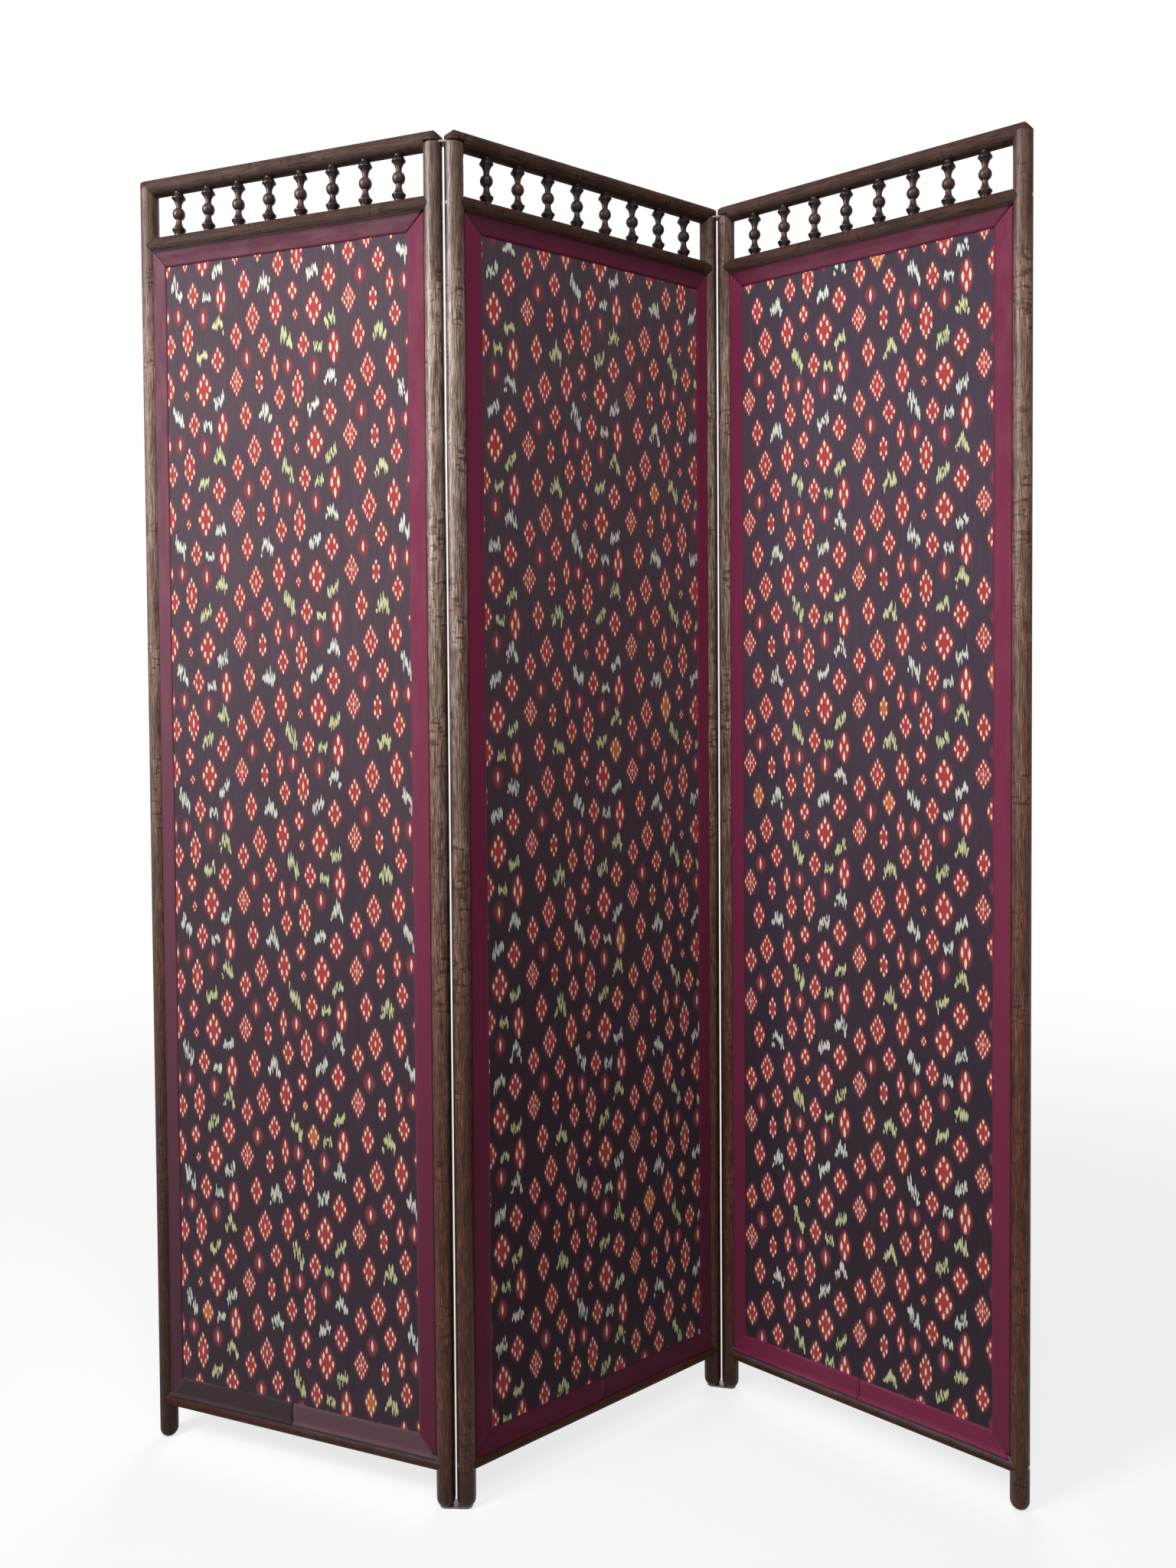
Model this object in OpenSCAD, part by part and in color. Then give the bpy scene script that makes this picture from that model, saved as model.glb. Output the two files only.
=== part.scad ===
// Folding room screen of three panels. Each panel is a frame of round posts and rails, with a
// gallery of turned spindles over a stretched cloth bordered with ribbon. Flat links between the
// posts, one in the top joint and one under the feet, let the panels fold either way.
// Millimetres, +Z up. The origin is on the floor, at the middle of the standing screen's plan,
// and the side that is seen from the front faces -Y.

/* [Screen] */
// Height from the floor to the top of the top rails
screen_h = 1750; // [1200:10:2000]
// Distance between the two post axes of a panel
panel_pitch = 436; // [300:1:600]
// Diameter of the posts
post_d = 24.5; // [22:0.5:32]
// Diameter of the top, mid and bottom rails
rail_d = 24; // [20:0.5:30]
// Radius of the blunt rounding on the ends of the top rails
rail_end_r = 20; // [14:0.5:40]
// Height of the feet under the bottom rail
foot_h = 45; // [35:1:120]
// Depth of the flat worn on the domed tip of a foot
foot_wear = 0.8; // [0.2:0.1:3]

/* [Gallery] */
// Clear height between the top rail and the mid rail
gallery_clear = 55; // [46:1:120]
// Number of spindles in a panel
spindle_count = 8; // [4:1:10]
// Diameter of a spindle's ball
spindle_ball_d = 17; // [12:0.1:22]
// Diameter of a spindle's two collars
spindle_collar_d = 18.4; // [12:0.1:22]
// Diameter of the waists beside the ball
spindle_waist_d = 7.9; // [4:0.1:9]
// Length of a waist between the ball and the flare
spindle_waist_len = 1; // [0.5:0.1:3]
// Distance from the ball's centre to the outer edge of a collar
spindle_collar_reach = 21.8; // [18:0.5:22]
// Thickness of a collar's rim
spindle_rim = 1.2; // [1:0.1:3]
// Diameter of the ends that enter the rails, where a collar's bevel ends
spindle_end_d = 12; // [8:0.5:13]
// Depth of a spindle's ends in the rails
spindle_seat = 7; // [3:0.5:9]

/* [Cloth] */
// Distance from the panel's middle plane to the face of the cloth
cloth_face = 7; // [3:0.5:9]
// Thickness of the cloth and of the lining
cloth_t = 0.8; // [0.4:0.1:2]
// Width of the ribbon
ribbon_w = 24; // [12:1:50]
// Thickness of the ribbon
ribbon_t = 1; // [0.4:0.1:2]
// Gap between the ribbon's two ends at the foot of the cloth
ribbon_slit = 1.5; // [0.5:0.5:5]

/* [Joinery] */
// Diameter of the tenons on the mid and bottom rails
tenon_d = 12; // [8:0.5:16]
// Depth of a tenon in its post
tenon_depth = 9; // [5:0.5:11]
// Diameter of a nail's shank
nail_d = 2.2; // [1.5:0.1:3.5]
// Length of a nail, with its head
nail_len = 32; // [20:1:50]
// Diameter of a nail's head
nail_head_d = 5; // [4:0.1:7]
// Thickness of a nail's head
nail_head_t = 1; // [0.6:0.1:1.5]
// Depth of a nail's head below the side of the post
nail_sink = 0.3; // [0:0.1:1]
// Clearance all round between a fixed piece and its seat
seat_gap = 0.05; // [0.02:0.01:0.2]
// Depth that a blind hole runs on past what it holds
hole_relief = 0.5; // [0.2:0.1:1]

/* [Hinges] */
// Distance between the two pivots of a link
link_pitch = 26.5; // [26:0.5:45]
// Depth of the top of a hinged post below the axis of its top rail
link_drop = 4.5; // [2.6:0.1:6]
// Width of a link
link_w = 16; // [12:0.5:20]
// Thickness of a link
link_t = 2.4; // [2:0.1:4]
// Clearance between a link and the wood over it
link_play = 0.1; // [0.05:0.05:0.5]
// Clearance between the end of a link and the back of its notch
notch_play = 0.5; // [0.3:0.1:2]
// Diameter of the pivot pins
pivot_d = 5; // [3:0.1:7]
// Running clearance all round a pivot pin in its link
pivot_play = 0.08; // [0.02:0.01:0.1]
// Depth of a pivot pin in its post
pivot_depth = 20; // [12:1:25]
// Depth of a top pivot pin in the end of its rail
pivot_rail_depth = 7; // [4:0.5:7]
// Diameter of the head of a bottom pivot pin
pivot_head_d = 9; // [7:0.5:11]
// Thickness of the head of a bottom pivot pin
pivot_head_t = 1; // [0.6:0.1:1.2]
// Height of that head above the floor
pivot_head_lift = 0.2; // [0.1:0.1:0.4]

/* [Stance] */
// Turn of the centre panel from the screen's length
centre_turn = 38; // [0:0.5:60]
// Fold of the left link on the centre panel, from straight
left_link_fold = 41; // [0:0.5:90]
// Fold of the left panel on its link, from straight
left_panel_fold = 17.5; // [0:0.5:90]
// Fold of the right link on the centre panel, from straight
right_link_fold = 51; // [0:0.5:90]
// Fold of the right panel on its link, from straight
right_panel_fold = 26; // [0:0.5:90]

/* [Hidden] */
$fn = 96;
post_r = post_d / 2;
rail_r = rail_d / 2;
// How far a cut runs past the surface that it opens
past = 1;

// Heights of the rails' axes. An outer post ends on the axis of the top rail, a hinged post below it.
top_z = screen_h - rail_r;
link_z = top_z - link_drop;
mid_z = top_z - rail_d - gallery_clear;
bottom_z = foot_h + rail_r;
dome_z = post_r - foot_wear;
hinge_foot_z = link_t + link_play;
notch_z = link_z + link_t + link_play;
notch_reach = link_w / 2 + notch_play;

spindle_pitch = panel_pitch / (spindle_count + 1);
spindle_z = (top_z + mid_z) / 2;

// Centre of the rounding on the left end of a top rail, from the post's axis on the rail's axis. The
// arc runs from the top of the rail over the post's axis down to the rail's axis at the post's side.
end_chord = [post_r, rail_r];
end_rise = sqrt(pow(rail_end_r, 2) - pow(norm(end_chord) / 2, 2)) / norm(end_chord);
end_centre = [rail_r * end_rise - post_r / 2, rail_r / 2 - post_r * end_rise];

// Distances from the axes of the posts and rails to the outer edge of the ribbon
ribbon_face = cloth_face + ribbon_t;
ribbon_side = sqrt(pow(post_r + seat_gap, 2) - pow(ribbon_face, 2));
ribbon_end = sqrt(pow(rail_r + seat_gap, 2) - pow(ribbon_face, 2));

// The plan: the turn of each panel and link, then the axes of the six posts from left to right
left_link_turn = centre_turn - left_link_fold;
left_turn = left_link_turn - left_panel_fold;
right_link_turn = centre_turn - right_link_fold;
right_turn = right_link_turn - right_panel_fold;
function heading(turn) = [cos(turn), sin(turn)];
plan_c = [0, 0];
plan_b = plan_c - link_pitch * heading(left_link_turn);
plan_a = plan_b - panel_pitch * heading(left_turn);
plan_d = plan_c + panel_pitch * heading(centre_turn);
plan_e = plan_d + link_pitch * heading(right_link_turn);
plan_f = plan_e + panel_pitch * heading(right_turn);
plan = [plan_a, plan_b, plan_c, plan_d, plan_e, plan_f];
plan_x = [for (p = plan) p[0]];
plan_y = [for (p = plan) p[1]];
plan_middle = [(min(plan_x) + max(plan_x)) / 2, (min(plan_y) + max(plan_y)) / 2];

// Each panel: its name, the post that it starts at, its turn, and which of its posts are hinged
PANELS = [
    ["left", plan_a, left_turn, [false, true]],
    ["centre", plan_c, centre_turn, [true, true]],
    ["right", plan_e, right_turn, [true, false]]
];
// The names of each panel's two posts
POSTS = [
    ["left_outer_post", "left_hinge_post"],
    ["centre_left_post", "centre_right_post"],
    ["right_hinge_post", "right_outer_post"]
];
// Each pair of links: its name, the post that it starts at and its turn
LINKS = [
    ["left_hinge_links", plan_b, left_link_turn],
    ["right_hinge_links", plan_d, right_link_turn]
];
PANEL_PIECES = [
    "top_rail", "mid_rail", "bottom_rail", "cloth", "lining",
    "front_ribbon", "back_ribbon", "rail_nails", "hinge_pins"
];

// Puts what is drawn along +X from a post's axis at that post, turned to its heading
module stand(at, turn) {
    translate([at[0] - plan_middle[0], at[1] - plan_middle[1], 0]) rotate([0, 0, turn]) children();
}

// Puts what is drawn for a panel's first post, with the panel on its +X side, at either post
module at_post(second) {
    if (second) translate([panel_pitch, 0, 0]) mirror([1, 0, 0]) children();
    else children();
}

// A round bar along +X
module bar(d, from, to) {
    translate([from, 0, 0]) rotate([0, 90, 0]) cylinder(d = d, h = to - from);
}

// Nail drawn inwards from the outer side of a post, or the hole for it
module nail(gap, run_on) {
    head_x = -post_r + nail_sink;
    hole_x = gap > 0 ? -post_r - past : head_x;
    bar(nail_head_d + 2 * gap, hole_x, head_x + nail_head_t + gap);
    bar(nail_d + 2 * gap, head_x + nail_head_t / 2, head_x + nail_len + run_on);
}

// Post with a domed foot, bored for two tenons, two nails and, if hinged, two pivot pins
module post(hinged) {
    foot_z = hinged ? hinge_foot_z : 0;
    head_z = hinged ? link_z : top_z;
    tenon_end = post_r - tenon_depth;
    color([0.27, 0.18, 0.14]) difference() {
        rotate_extrude() intersection() {
            union() {
                translate([0, dome_z]) circle(r = post_r);
                translate([0, dome_z]) square([post_r, head_z - dome_z]);
            }
            translate([0, foot_z]) square([post_r, head_z - foot_z]);
        }
        for (z = [mid_z, bottom_z]) translate([0, 0, z]) {
            bar(tenon_d + 2 * seat_gap, tenon_end - hole_relief, post_d);
            nail(seat_gap, 0);
        }
        if (hinged) for (z = [link_z - pivot_depth - hole_relief, foot_z - past])
            translate([0, 0, z])
                cylinder(d = pivot_d + 2 * seat_gap, h = pivot_depth + hole_relief + past);
    }
}

// Holes for the ends of the spindles in one rail, from its axis line towards the gallery
module spindle_sockets(up) {
    depth = spindle_seat + hole_relief;
    floor_z = up ? rail_r - depth : -rail_r - past;
    for (i = [1:spindle_count]) translate([i * spindle_pitch, 0, floor_z])
        cylinder(d = spindle_end_d + 2 * seat_gap, h = depth + past);
}

// Outline of a top rail from above: as wide as the posts, with round ends on their axes
module rail_plan() {
    for (x = [0, panel_pitch]) translate([x, 0]) circle(r = post_r);
    translate([0, -post_r]) square([panel_pitch, post_d]);
}

// Outline of a top rail from the side: upright below its axis at the ends, and rounded above it
module rail_side() {
    translate([-post_r, -rail_r]) square([panel_pitch + post_d, rail_r]);
    translate([0, -rail_r]) square([panel_pitch, rail_d]);
    for (i = [0, 1]) translate([i * panel_pitch, 0]) mirror([i, 0]) intersection() {
        translate([-post_r, -rail_r]) square([post_d, rail_d]);
        translate(end_centre) circle(r = rail_end_r);
    }
}

// Top rail whose rounded ends sit on the posts, notched for the links at the hinged posts
module top_rail(hinged) {
    color([0.33, 0.27, 0.24]) difference() {
        translate([0, 0, top_z]) intersection() {
            bar(rail_d, -post_d, panel_pitch + post_d);
            translate([0, 0, -rail_d]) linear_extrude(2 * rail_d) rail_plan();
            translate([0, rail_d, 0]) rotate([90, 0, 0]) linear_extrude(2 * rail_d) rail_side();
        }
        translate([0, 0, top_z]) spindle_sockets(false);
        for (i = [0, 1]) at_post(i == 1) {
            translate([0, 0, (hinged[i] ? link_z : top_z) - rail_d])
                cylinder(r = post_r + seat_gap, h = rail_d);
            if (hinged[i]) {
                translate([-post_d, -post_d, link_z])
                    cube([post_d + notch_reach, 2 * post_d, notch_z - link_z]);
                translate([0, 0, link_z]) cylinder(
                    d = pivot_d + 2 * seat_gap,
                    h = notch_z - link_z + pivot_rail_depth + hole_relief);
            }
        }
    }
}

// Mid or bottom rail, coped round the posts, with a tenon on each end
module lower_rail(z, sockets) {
    tenon_start = post_r - tenon_depth;
    color([0.30, 0.22, 0.18]) translate([0, 0, z]) difference() {
        union() {
            difference() {
                bar(rail_d, 0, panel_pitch);
                for (x = [0, panel_pitch]) translate([x, 0, -rail_d])
                    cylinder(r = post_r + seat_gap, h = 2 * rail_d);
            }
            bar(tenon_d, tenon_start, panel_pitch - tenon_start);
        }
        for (i = [0, 1]) at_post(i == 1) nail(seat_gap, hole_relief);
        if (sockets) spindle_sockets(true);
    }
}

// Turned spindle: a ball between two collars that flare from thin waists and are bevelled to the rails
module spindle(i) {
    flare_start = spindle_ball_d / 2 + spindle_waist_len;
    flare_end = spindle_collar_reach - spindle_rim;
    flare_rise = (spindle_collar_d - spindle_waist_d) / 2;
    flare_r = (pow(flare_rise, 2) + pow(flare_end - flare_start, 2)) / (2 * flare_rise);
    rail_face_z = gallery_clear / 2;
    end_z = rail_face_z + spindle_seat;
    color([0.22, 0.14, 0.13]) translate([i * spindle_pitch, 0, spindle_z]) {
        sphere(d = spindle_ball_d);
        for (up = [0, 1]) mirror([0, 0, up]) {
            cylinder(d = spindle_waist_d, h = flare_start);
            rotate_extrude() difference() {
                translate([0, flare_start]) square([spindle_collar_d / 2, flare_end - flare_start]);
                translate([spindle_waist_d / 2 + flare_r, flare_start]) circle(r = flare_r);
            }
            translate([0, 0, flare_end]) cylinder(d = spindle_collar_d, h = spindle_rim);
            translate([0, 0, spindle_collar_reach]) cylinder(
                d1 = spindle_collar_d, d2 = spindle_end_d, h = rail_face_z - spindle_collar_reach);
            cylinder(d = spindle_waist_d, h = end_z);
            translate([0, 0, flare_end]) cylinder(d = spindle_end_d, h = end_z - flare_end);
        }
    }
}

// What a sheet on the posts and rails leaves free: the posts and rails with their seat gap
module frame_space() {
    for (x = [0, panel_pitch]) translate([x, 0, 0]) cylinder(r = post_r + seat_gap, h = link_z);
    for (z = [mid_z, bottom_z]) translate([0, 0, z]) bar(rail_d + 2 * seat_gap, 0, panel_pitch);
}

// Flat sheet between the rails' axes, on the front (-Y) side of the panel's middle plane
module sheet(face, t) {
    difference() {
        translate([0, -face, bottom_z]) cube([panel_pitch, t, mid_z - bottom_z]);
        frame_space();
    }
}

// Stretched cloth on the front of a panel
module cloth() {
    color([0.16, 0.13, 0.16]) sheet(cloth_face, cloth_t);
}

// Plain lining on the back of a panel
module lining() {
    color([0.17, 0.12, 0.14]) mirror([0, 1, 0]) sheet(cloth_face, cloth_t);
}

// Ribbon round the edge of a cloth, with its ends meeting at the middle of the bottom
module ribbon() {
    inner_x = ribbon_side + ribbon_w;
    inner_z = bottom_z + ribbon_end + ribbon_w;
    difference() {
        sheet(ribbon_face, ribbon_t);
        translate([inner_x, -post_d, inner_z])
            cube([panel_pitch - 2 * inner_x, post_d, mid_z - ribbon_end - ribbon_w - inner_z]);
        translate([panel_pitch / 2, -post_d, 0]) cube([ribbon_slit, post_d, inner_z + past]);
    }
}

module front_ribbon() {
    color([0.35, 0.12, 0.20]) ribbon();
}

module back_ribbon() {
    color([0.35, 0.12, 0.20]) mirror([0, 1, 0]) ribbon();
}

// The four nails that hold the mid and bottom rails
module rail_nails() {
    color([0.55, 0.54, 0.52]) for (z = [mid_z, bottom_z]) translate([0, 0, z])
        for (i = [0, 1]) at_post(i == 1) nail(0, 0);
}

// Pivot pins of a panel's hinged posts: a plain one at the top, one with a head at the foot
module hinge_pins(hinged) {
    pin_z = link_z - pivot_depth;
    color([0.42, 0.40, 0.38]) for (i = [0, 1]) if (hinged[i]) at_post(i == 1) {
        translate([0, 0, pin_z]) cylinder(d = pivot_d, h = notch_z + pivot_rail_depth - pin_z);
        translate([0, 0, pivot_head_lift]) {
            cylinder(d = pivot_head_d, h = pivot_head_t);
            cylinder(d = pivot_d, h = hinge_foot_z + pivot_depth - pivot_head_lift);
        }
    }
}

// Flat link with a round end on each pivot; the bottom one is recessed for the pins' heads
module link(recessed) {
    recess = pivot_head_lift + pivot_head_t + seat_gap;
    difference() {
        linear_extrude(link_t) {
            circle(d = link_w);
            translate([link_pitch, 0]) circle(d = link_w);
            translate([0, -link_w / 2]) square([link_pitch, link_w]);
        }
        for (x = [0, link_pitch]) translate([x, 0, -past]) {
            cylinder(d = pivot_d + 2 * pivot_play, h = link_t + 2 * past);
            if (recessed) cylinder(d = pivot_head_d + 2 * pivot_play, h = recess + past);
        }
    }
}

// The two links of one hinge, which always turn together
module hinge_links() {
    color([0.40, 0.39, 0.37]) {
        translate([0, 0, link_z]) link(false);
        link(true);
    }
}

for (p = [0:2]) for (i = [0, 1]) stand(PANELS[p][1], PANELS[p][2]) at_post(i == 1) post(PANELS[p][3][i]);
for (p = PANELS) stand(p[1], p[2]) top_rail(p[3]);
for (p = PANELS) stand(p[1], p[2]) lower_rail(mid_z, true);
for (p = PANELS) stand(p[1], p[2]) lower_rail(bottom_z, false);
for (p = PANELS) stand(p[1], p[2]) cloth();
for (p = PANELS) stand(p[1], p[2]) lining();
for (p = PANELS) stand(p[1], p[2]) front_ribbon();
for (p = PANELS) stand(p[1], p[2]) back_ribbon();
for (p = PANELS) stand(p[1], p[2]) rail_nails();
for (p = PANELS) stand(p[1], p[2]) hinge_pins(p[3]);
for (p = PANELS) for (i = [1:spindle_count]) stand(p[1], p[2]) spindle(i);
for (l = LINKS) stand(l[1], l[2]) hinge_links();
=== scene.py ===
"""Folding room screen: ikat cloths edged with ribbon on three hinged frames of turned oak.

Metres, +Z up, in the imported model's frame. Every panel has its own axes: +X from its first post to
its second, -Y towards the front of the cloth, +Z up. Cloth patterns are laid out in millimetres.
"""
import math

import bpy
import numpy as np
from mathutils import Matrix, Vector


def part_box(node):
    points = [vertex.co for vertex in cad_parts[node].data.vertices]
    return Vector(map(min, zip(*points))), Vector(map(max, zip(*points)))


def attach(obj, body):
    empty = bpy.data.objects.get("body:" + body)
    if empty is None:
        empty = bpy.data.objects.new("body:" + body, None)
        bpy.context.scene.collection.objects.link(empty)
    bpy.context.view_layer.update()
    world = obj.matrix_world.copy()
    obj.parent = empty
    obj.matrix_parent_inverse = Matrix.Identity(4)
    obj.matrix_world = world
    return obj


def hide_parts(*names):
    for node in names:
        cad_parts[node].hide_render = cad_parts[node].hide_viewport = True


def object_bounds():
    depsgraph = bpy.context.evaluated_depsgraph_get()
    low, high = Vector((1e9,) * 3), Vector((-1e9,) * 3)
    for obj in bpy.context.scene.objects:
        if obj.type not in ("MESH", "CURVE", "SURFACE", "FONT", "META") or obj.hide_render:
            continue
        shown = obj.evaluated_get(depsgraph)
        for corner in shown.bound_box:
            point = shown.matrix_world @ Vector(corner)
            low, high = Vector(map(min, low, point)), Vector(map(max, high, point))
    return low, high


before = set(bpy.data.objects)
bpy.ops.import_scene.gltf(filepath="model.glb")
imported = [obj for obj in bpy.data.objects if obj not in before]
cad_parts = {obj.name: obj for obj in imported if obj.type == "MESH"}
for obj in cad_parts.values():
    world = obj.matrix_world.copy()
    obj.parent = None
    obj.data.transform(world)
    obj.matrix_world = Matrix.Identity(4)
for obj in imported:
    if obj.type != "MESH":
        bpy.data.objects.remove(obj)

bl_info = {
    "name": "Folding Room Screen",
    "version": (1, 0, 0),
    "blender": (4, 5, 0),
    "location": "3D Viewport > Sidebar > Screen",
    "description": "Dresses the frames of a folding room screen in cloth, ribbon, oak and steel",
    "category": "Object",
}

CAD_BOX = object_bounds()
MM = 0.001
SCREEN_HEIGHT = CAD_BOX[1][2]
# Height of the photograph in pixels, which the camera's settings count in
PHOTO_HEIGHT = 2048

# Each panel: its name and the posts that it starts and ends at
PANELS = (
    ("left", "left_outer_post", "left_hinge_post"),
    ("centre", "centre_left_post", "centre_right_post"),
    ("right", "right_hinge_post", "right_outer_post"),
)
SPINDLES = [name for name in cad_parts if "_spindle_" in name]
# Height of the balls of the spindles, in millimetres
SPINDLE_MIDDLE = sum(corner[2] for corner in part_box(SPINDLES[0])) / 2 / MM


def tone(red, green, blue):
    """Linear colour of an sRGB tone from 0 to 255, by the usual power curve with a straight foot."""
    share = np.array([red, green, blue]) / 255
    linear = np.where(share <= 0.04045, share / 12.92, ((share + 0.055) / 1.055) ** 2.4)
    return tuple(float(part) for part in linear)


def scaled(colour, amount):
    """A colour made lighter or darker by a number."""
    return tuple(amount * part for part in colour)


def as_rows(*parts):
    """Arrays and numbers of one grid as a table: a row for each point, a column for each part."""
    return np.stack(np.broadcast_arrays(*parts), axis=-1).reshape(-1, len(parts))


class Place:
    """Where a panel stands: the axis of its first post, its heading, and the way to its back."""

    def __init__(self, name, first_post, second_post):
        self.name = name
        self.posts = (first_post, second_post)
        first, second = (self.middle(post) for post in self.posts)
        run = second - first
        self.start = first
        self.pitch = float(np.hypot(*run))
        self.along = run / self.pitch
        self.back = np.array([-self.along[1], self.along[0]])
        self.turn = math.atan2(self.along[1], self.along[0])

    @staticmethod
    def middle(node):
        """Middle of a node's box, seen from above."""
        low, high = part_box(node)
        return (np.array(low[:2]) + np.array(high[:2])) / 2

    def box(self, part):
        """Lowest and highest corner of one of the panel's nodes, measured along the panel's axes."""
        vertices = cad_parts[f"{self.name}_{part}"].data.vertices
        points = np.empty(3 * len(vertices))
        vertices.foreach_get("co", points)
        points = points.reshape(-1, 3)
        flat = points[:, :2] - self.start
        local = np.column_stack([flat @ self.along, flat @ self.back, points[:, 2]])
        return local.min(0), local.max(0)

    def stand(self, x, y, z):
        """Points given along the panel's axes, as rows of world coordinates."""
        local = as_rows(x, y, z)
        flat = self.start + local[:, :1] * self.along + local[:, 1:2] * self.back
        return np.column_stack([flat, local[:, 2]])

    def carriers(self):
        """The nodes that a sheet on this panel is stretched over."""
        return [*self.posts, f"{self.name}_mid_rail", f"{self.name}_bottom_rail"]


PLACES = [Place(*panel) for panel in PANELS]


# Settings

def tint(name, description, red, green, blue):
    """A colour setting whose default is an sRGB tone from 0 to 255."""
    return bpy.props.FloatVectorProperty(
        name=name, description=description, default=tone(red, green, blue), subtype="COLOR", min=0, max=1)


def measure(name, description, default, **options):
    """A setting that is one number."""
    return bpy.props.FloatProperty(name=name, description=description, default=default, **options)


def length(name, description, default, smallest):
    """A length setting in metres."""
    return measure(name, description, default, min=smallest, unit="LENGTH")


def power(name, description, default):
    """A lamp's power in watts."""
    return measure(name, description, default, unit="POWER")


class ScreenClothSettings(bpy.types.PropertyGroup):
    """Sizes and colours of the patterned cloth and of its lining."""

    face_size: length("Face size", "Size of the faces that the cloth is made of", 4.8 * MM, MM)
    ripple: length("Ripple", "Depth of the slack ripples in the stretched cloth", 0.35 * MM, 0)
    thread: length("Thread", "Width of one warp thread", 0.8 * MM, 0.1 * MM)
    slip: length("Slip", "How far dyed threads have slipped along the warp", 1.7 * MM, 0)
    ground: tint("Ground", "Dark ground of the cloth", 68, 53, 62)
    red: tint("Red", "Body of the red diamonds", 172, 60, 60)
    halo: tint("Halo", "Feathered rim of the diamonds", 142, 55, 66)
    orange: tint("Orange", "Body of the few orange diamonds", 196, 112, 52)
    cream: tint("Cream", "Dashes round the diamonds", 252, 222, 196)
    white: tint("White", "Marks in the bluish white rows", 230, 232, 220)
    green: tint("Green", "Marks in the yellowish green rows", 216, 220, 164)
    lining: tint("Lining", "Plain cotton on the back of the panels", 74, 60, 68)


class ScreenRibbonSettings(bpy.types.PropertyGroup):
    """Sizes and colours of the ribbon round the cloths."""

    layer: length("Layer", "Thickness of one layer of ribbon", 0.42 * MM, 0.1 * MM)
    waver: length("Waver", "How far the inner edge wavers from a straight line", 0.45 * MM, 0)
    wine: tint("Wine", "Colour of the ribbon", 120, 36, 69)
    # The dust colour also stands for a painted grey sheen on the ribbon
    dust: tint("Dust", "Colour that the ribbon has faded to where it is dusty", 90, 70, 78)


class ScreenWoodSettings(bpy.types.PropertyGroup):
    """Colours of the oak and of the metal in it."""

    dark: tint("Dark oak", "Pores and dark streaks of the fumed oak", 40, 25, 20)
    brown: tint("Brown oak", "Body of the fumed oak high up", 112, 73, 58)
    low: tint("Low oak", "Body of the fumed oak low down", 84, 47, 35)
    amber: tint("Amber fleck", "Flecks where the stain has worn thin", 166, 104, 56)
    worn: tint("Worn oak", "Rubbed and faded varnish", 162, 140, 125)
    pale: tint("Pale fleck", "Light flecks in the rubbed varnish", 206, 192, 176)
    dust: tint("Dust", "Dust on top of the lower rails", 108, 96, 102)
    rail: tint("Rail", "Smooth old varnish of the rails", 82, 54, 45)
    spindle: tint("Spindle", "Varnish of the turned spindles", 44, 31, 31)
    ball: tint("Ball", "Rubbed balls of the redder spindles", 66, 43, 38)
    steel: tint("Steel", "Links and pins of the hinges", 128, 124, 120)
    nail: tint("Nail", "Hammered heads of the nails", 205, 202, 198)


class ScreenStageSettings(bpy.types.PropertyGroup):
    """Place of the camera, and strength of the lamps."""

    eye: bpy.props.FloatVectorProperty(
        name="Camera", description="Place of the camera",
        default=(0.0289, -1.7003, 1.0748), subtype="TRANSLATION")
    dip: measure("Dip", "How far the camera looks down", math.radians(1.537), subtype="ANGLE")
    roll: measure("Roll", "Turn of the camera about its line of sight", math.radians(-0.392),
                  subtype="ANGLE")
    focal_pixels: measure("Focal length", "Focal length in pixels of the photograph", 1622.3, min=1)
    centre_right: measure("Centre right", "Pixels right from the picture's middle to the line of sight",
                          2.5)
    centre_up: measure("Centre up", "Pixels up from the picture's middle to the line of sight", 105.6)
    key_power: power("Key lamp", "Soft lamp at the front left", 84)
    fill_power: power("Fill lamp", "Wide lamp high in front", 38)
    back_power: power("Back lamp", "Wide lamp behind the screen", 60)
    window_power: power("Window lamp", "Tall narrow lamp that only glosses show", 140)
    ambient: measure("Ambient", "Strength of the pale room light", 0.06, min=0)
    gloss: measure("Gloss", "Strength of the white background in glosses", 0.5, min=0)


# Material trees

def through(operation, *rest):
    """A method that takes a wire, the numbers given to it and the rest through one math node."""
    return lambda wire, *others: wire.finish.math(operation, wire, *others, *rest)


class Wire:
    """A number or a colour that runs through a material's nodes, so that a finish reads as a formula."""

    __add__ = through("ADD")
    __sub__ = through("SUBTRACT")
    __mul__ = through("MULTIPLY")
    __truediv__ = through("DIVIDE")
    __pow__ = through("POWER")
    __abs__ = through("ABSOLUTE")
    __round__ = through("ROUND")
    floor = through("FLOOR")
    sine = through("SINE")
    root = through("SQRT")
    larger = through("MAXIMUM")
    smaller = through("MINIMUM")
    below = through("LESS_THAN")
    is_near = through("COMPARE", 0.5)

    def __init__(self, finish, socket):
        self.finish = finish
        self.socket = socket

    def __rsub__(self, other):
        return self.finish.math("SUBTRACT", other, self)

    def rise(self, start, end, low=0.0, high=1.0):
        """Goes smoothly from low to high while the number goes from start to end."""
        node = self.finish.node("ShaderNodeMapRange", self, start, end, low, high,
                                interpolation_type="SMOOTHSTEP")
        return Wire(self.finish, node.outputs[0])


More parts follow.
